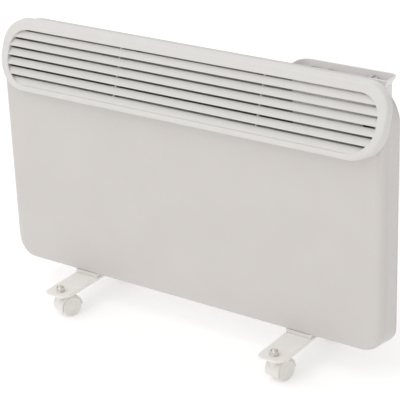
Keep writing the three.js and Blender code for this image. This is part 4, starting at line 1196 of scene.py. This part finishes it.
def axle():
    half = WHEEL_GAP / 2 + WHEEL_WIDTH - WHEEL_FLOOR - GAP
    return rod("axle", AXLE_RADIUS, (-half, half), (0, CASTOR_TRAIL, WHEEL_RADIUS), "x")


def threaded_end(low, high):
    """Profile points of the stud's thread, drawn as rings, going up."""
    root = STUD_RADIUS - THREAD_DEPTH
    points = []
    z = low
    while z + THREAD_PITCH <= high:
        crest = [(STUD_RADIUS, z + THREAD_PITCH * share) for share in THREAD_CREST]
        points += [(root, z), *crest, (root, z + THREAD_PITCH)]
        z += THREAD_PITCH
    return points


def stud(name):
    high = node_box("castor_front_left_stud")[1].z
    collar_low, collar_top = BOSS_TOP + GAP, FOOT_TOP - FOOT_SHEET - GAP
    tip = high - THREAD_END
    profile = [(STUD_RADIUS, STUD_LOW), (STUD_RADIUS, collar_low), (STUD_COLLAR, collar_low),
               (STUD_COLLAR, collar_top), (STUD_RADIUS, collar_top), (STUD_RADIUS, NUT_LOW)]
    profile += threaded_end(NUT_LOW + THREAD_START, tip)
    profile += [(STUD_RADIUS - THREAD_DEPTH, tip), (STUD_RADIUS - 1, high)]
    return turned(name, profile)


def nut(name):
    """A flange nut: a hexagon with turned-off corners on a conical flange."""
    low, high = NUT_LOW, NUT_LOW + NUT_HEIGHT
    flat, corner = NUT_FLATS / 2, NUT_FLATS / math.sqrt(3)
    hexagon = rod(name, corner, (low + 1, high), sides=6)
    chamfer = [(corner + out, high - down) for out, down in NUT_CHAMFER]
    chamfer = [(corner + 1, low), *chamfer, (flat - 0.2, high)]
    keep(hexagon, turned("chamfer", chamfer, sides=96))
    flange = [(NUT_FLANGE + out, low + up) for out, up in NUT_FLANGE_EDGE] + [(flat, low + NUT_CONE)]
    join(hexagon, turned("flange", flange, sides=96))
    bore = [(STUD_RADIUS + GAP, low - 1), (STUD_RADIUS + GAP, high - NUT_MOUTH),
            (STUD_RADIUS + 1, high), (STUD_RADIUS + 1, high + 1)]
    return cut(hexagon, turned("bore", bore))


def castor(side, end, x, y):
    """All the pieces of one castor. The swivelling ones are turned to where they rest."""
    name = f"castor_{end}_{side}"
    stand = Matrix.Translation(Vector((x, y, 0)) * MM)
    swivel = stand @ Matrix.Rotation(math.radians(CASTOR_TURNS[f"{end}_{side}"]), 4, "Z")

    def put(made, label, stands, look, body, node):
        made.name = f"{name}_{label}"
        made.data.transform(stands)
        place(smooth(made), look, f"{name}_{node}", body=body)

    put(stud("stud"), "threaded_stud", stand, STUD_PAINTED_HIGHLIGHT, "heater", "stud")
    put(nut("nut"), "flange_nut", stand, ZINC, "heater", "nut")
    put(hood(), "fork", swivel, CASTOR, name, "hood")
    put(axle(), "axle_pin", swivel, STEEL, name, "axle")
    put(wheel(-1), "disc_left", swivel, CASTOR, f"{name}_wheel_a", "wheel_left")
    put(wheel(1), "disc_right", swivel, CASTOR, f"{name}_wheel_b", "wheel_right")


for foot_side, foot_x in (("left", -FOOT_X), ("right", FOOT_X)):
    foot(foot_side, foot_x)
    foot_spacer(foot_side)
    for foot_end, castor_y in (("front", -CASTOR_Y), ("rear", CASTOR_Y)):
        castor(foot_side, foot_end, foot_x, castor_y)
    for screw_number in (1, 2):
        foot_screw(foot_side, screw_number)


# ---- Pieces inside, with the model's own shapes ----

INNER_LOOKS = {
    "heating_element": FIN,
    "element_bracket_left": STEEL,
    "element_bracket_right": STEEL,
    "element_bush_left": CERAMIC,
    "element_bush_right": CERAMIC,
    "compartment_baffle": BRIGHT,
    "thermal_cutout": DARK,
    "element_lead": SLEEVE,
    "thermostat_body": DARK,
    "thermostat_shaft": STEEL,
    "terminal_block": CERAMIC,
}
for inner_name, inner_look in INNER_LOOKS.items():
    inner = frame["nodes"][inner_name]
    inner.data.materials.clear()
    inner.data.materials.append(inner_look.material)


# ---- Floor, light and camera ----


FLOOR_REACH = 30  # metres


def floor():
    mesh = bpy.data.meshes.new("floor")
    far = FLOOR_REACH
    mesh.from_pydata([(-far, -far, 0), (far, -far, 0), (far, far, 0), (-far, far, 0)], [], [(0, 1, 2, 3)])
    look = Look("floor_white", (0.9, 0.9, 0.9), 0.7)
    look.vary_roughness(400, 0.65, 0.8)
    feed(look.shader, Emission_Color=(1, 1, 1, 1), Emission_Strength=0.22)
    mesh.materials.append(look.material)
    add_object("floor", mesh)


def area_light(name, place_at, aim, size, power):
    light = bpy.data.lights.new(name, "AREA")
    light.shape = "SQUARE"
    light.size = size
    light.energy = power
    obj = add_object(name, light)
    obj.location = place_at
    obj.rotation_euler = (Vector(aim) - Vector(place_at)).to_track_quat("-Z", "Y").to_euler()


LIGHT_FROM = (-0.36, 0, 0.5)
WORLD_LEVELS = ((0.0, 0.64), (0.25, 0.9), (0.6, 1.05))
WORLD_STRENGTH = 0.96
CAMERA_ANGLES = (35.43, 23.49, -2.14)  # azimuth, elevation and roll, in degrees
CAMERA_DISTANCE = 2.56088
CAMERA_TARGET = (0.035, -0.025, 0.24824)
CAMERA_LENS = 141.04
CAMERA_SENSOR = 36


def world():
    """Soft light from all round, brightest from overhead and dimmest from low on the right."""
    made = bpy.data.worlds.new("studio")
    scene.world = made
    made.use_nodes = True
    tree = made.node_tree
    coordinates = tree.nodes.new("ShaderNodeTexCoord")
    toward = tree.nodes.new("ShaderNodeVectorMath")
    toward.operation = "DOT_PRODUCT"
    toward.inputs[1].default_value = LIGHT_FROM
    ramp = tree.nodes.new("ShaderNodeValToRGB")
    ramp.color_ramp.elements.new(0.5)
    for element, (place_at, level) in zip(ramp.color_ramp.elements, WORLD_LEVELS):
        element.position = place_at
        element.color = (level, level, level, 1)
    background = tree.nodes["Background"]
    feed(background, Strength=WORLD_STRENGTH)
    tree.links.new(coordinates.outputs["Generated"], toward.inputs[0])
    tree.links.new(toward.outputs["Value"], ramp.inputs["Fac"])
    tree.links.new(ramp.outputs["Color"], background.inputs["Color"])


def camera():
    """Turned about its target by an azimuth, an elevation and a roll, and then drawn back from it."""
    azimuth, elevation, roll = map(math.radians, CAMERA_ANGLES)
    data = bpy.data.cameras.new("camera")
    data.lens = CAMERA_LENS
    data.sensor_width = CAMERA_SENSOR
    obj = add_object("camera", data)
    turned_to = Matrix.Rotation(azimuth, 4, "Z") @ Matrix.Rotation(math.pi / 2 - elevation, 4, "X")
    turned_to = turned_to @ Matrix.Rotation(roll, 4, "Z")
    back = Matrix.Translation((0, 0, CAMERA_DISTANCE))
    obj.matrix_world = Matrix.Translation(CAMERA_TARGET) @ turned_to @ back
    scene.camera = obj


floor()
world()
area_light("overhead", (-0.5, -1.4, 2.8), (0, 0, 0.2), 2.4, 16)
area_light("front", (-1.8, -2.8, 1.8), (0, 0, 0.25), 2.0, 1)
camera()
scene.view_settings.view_transform = "Standard"
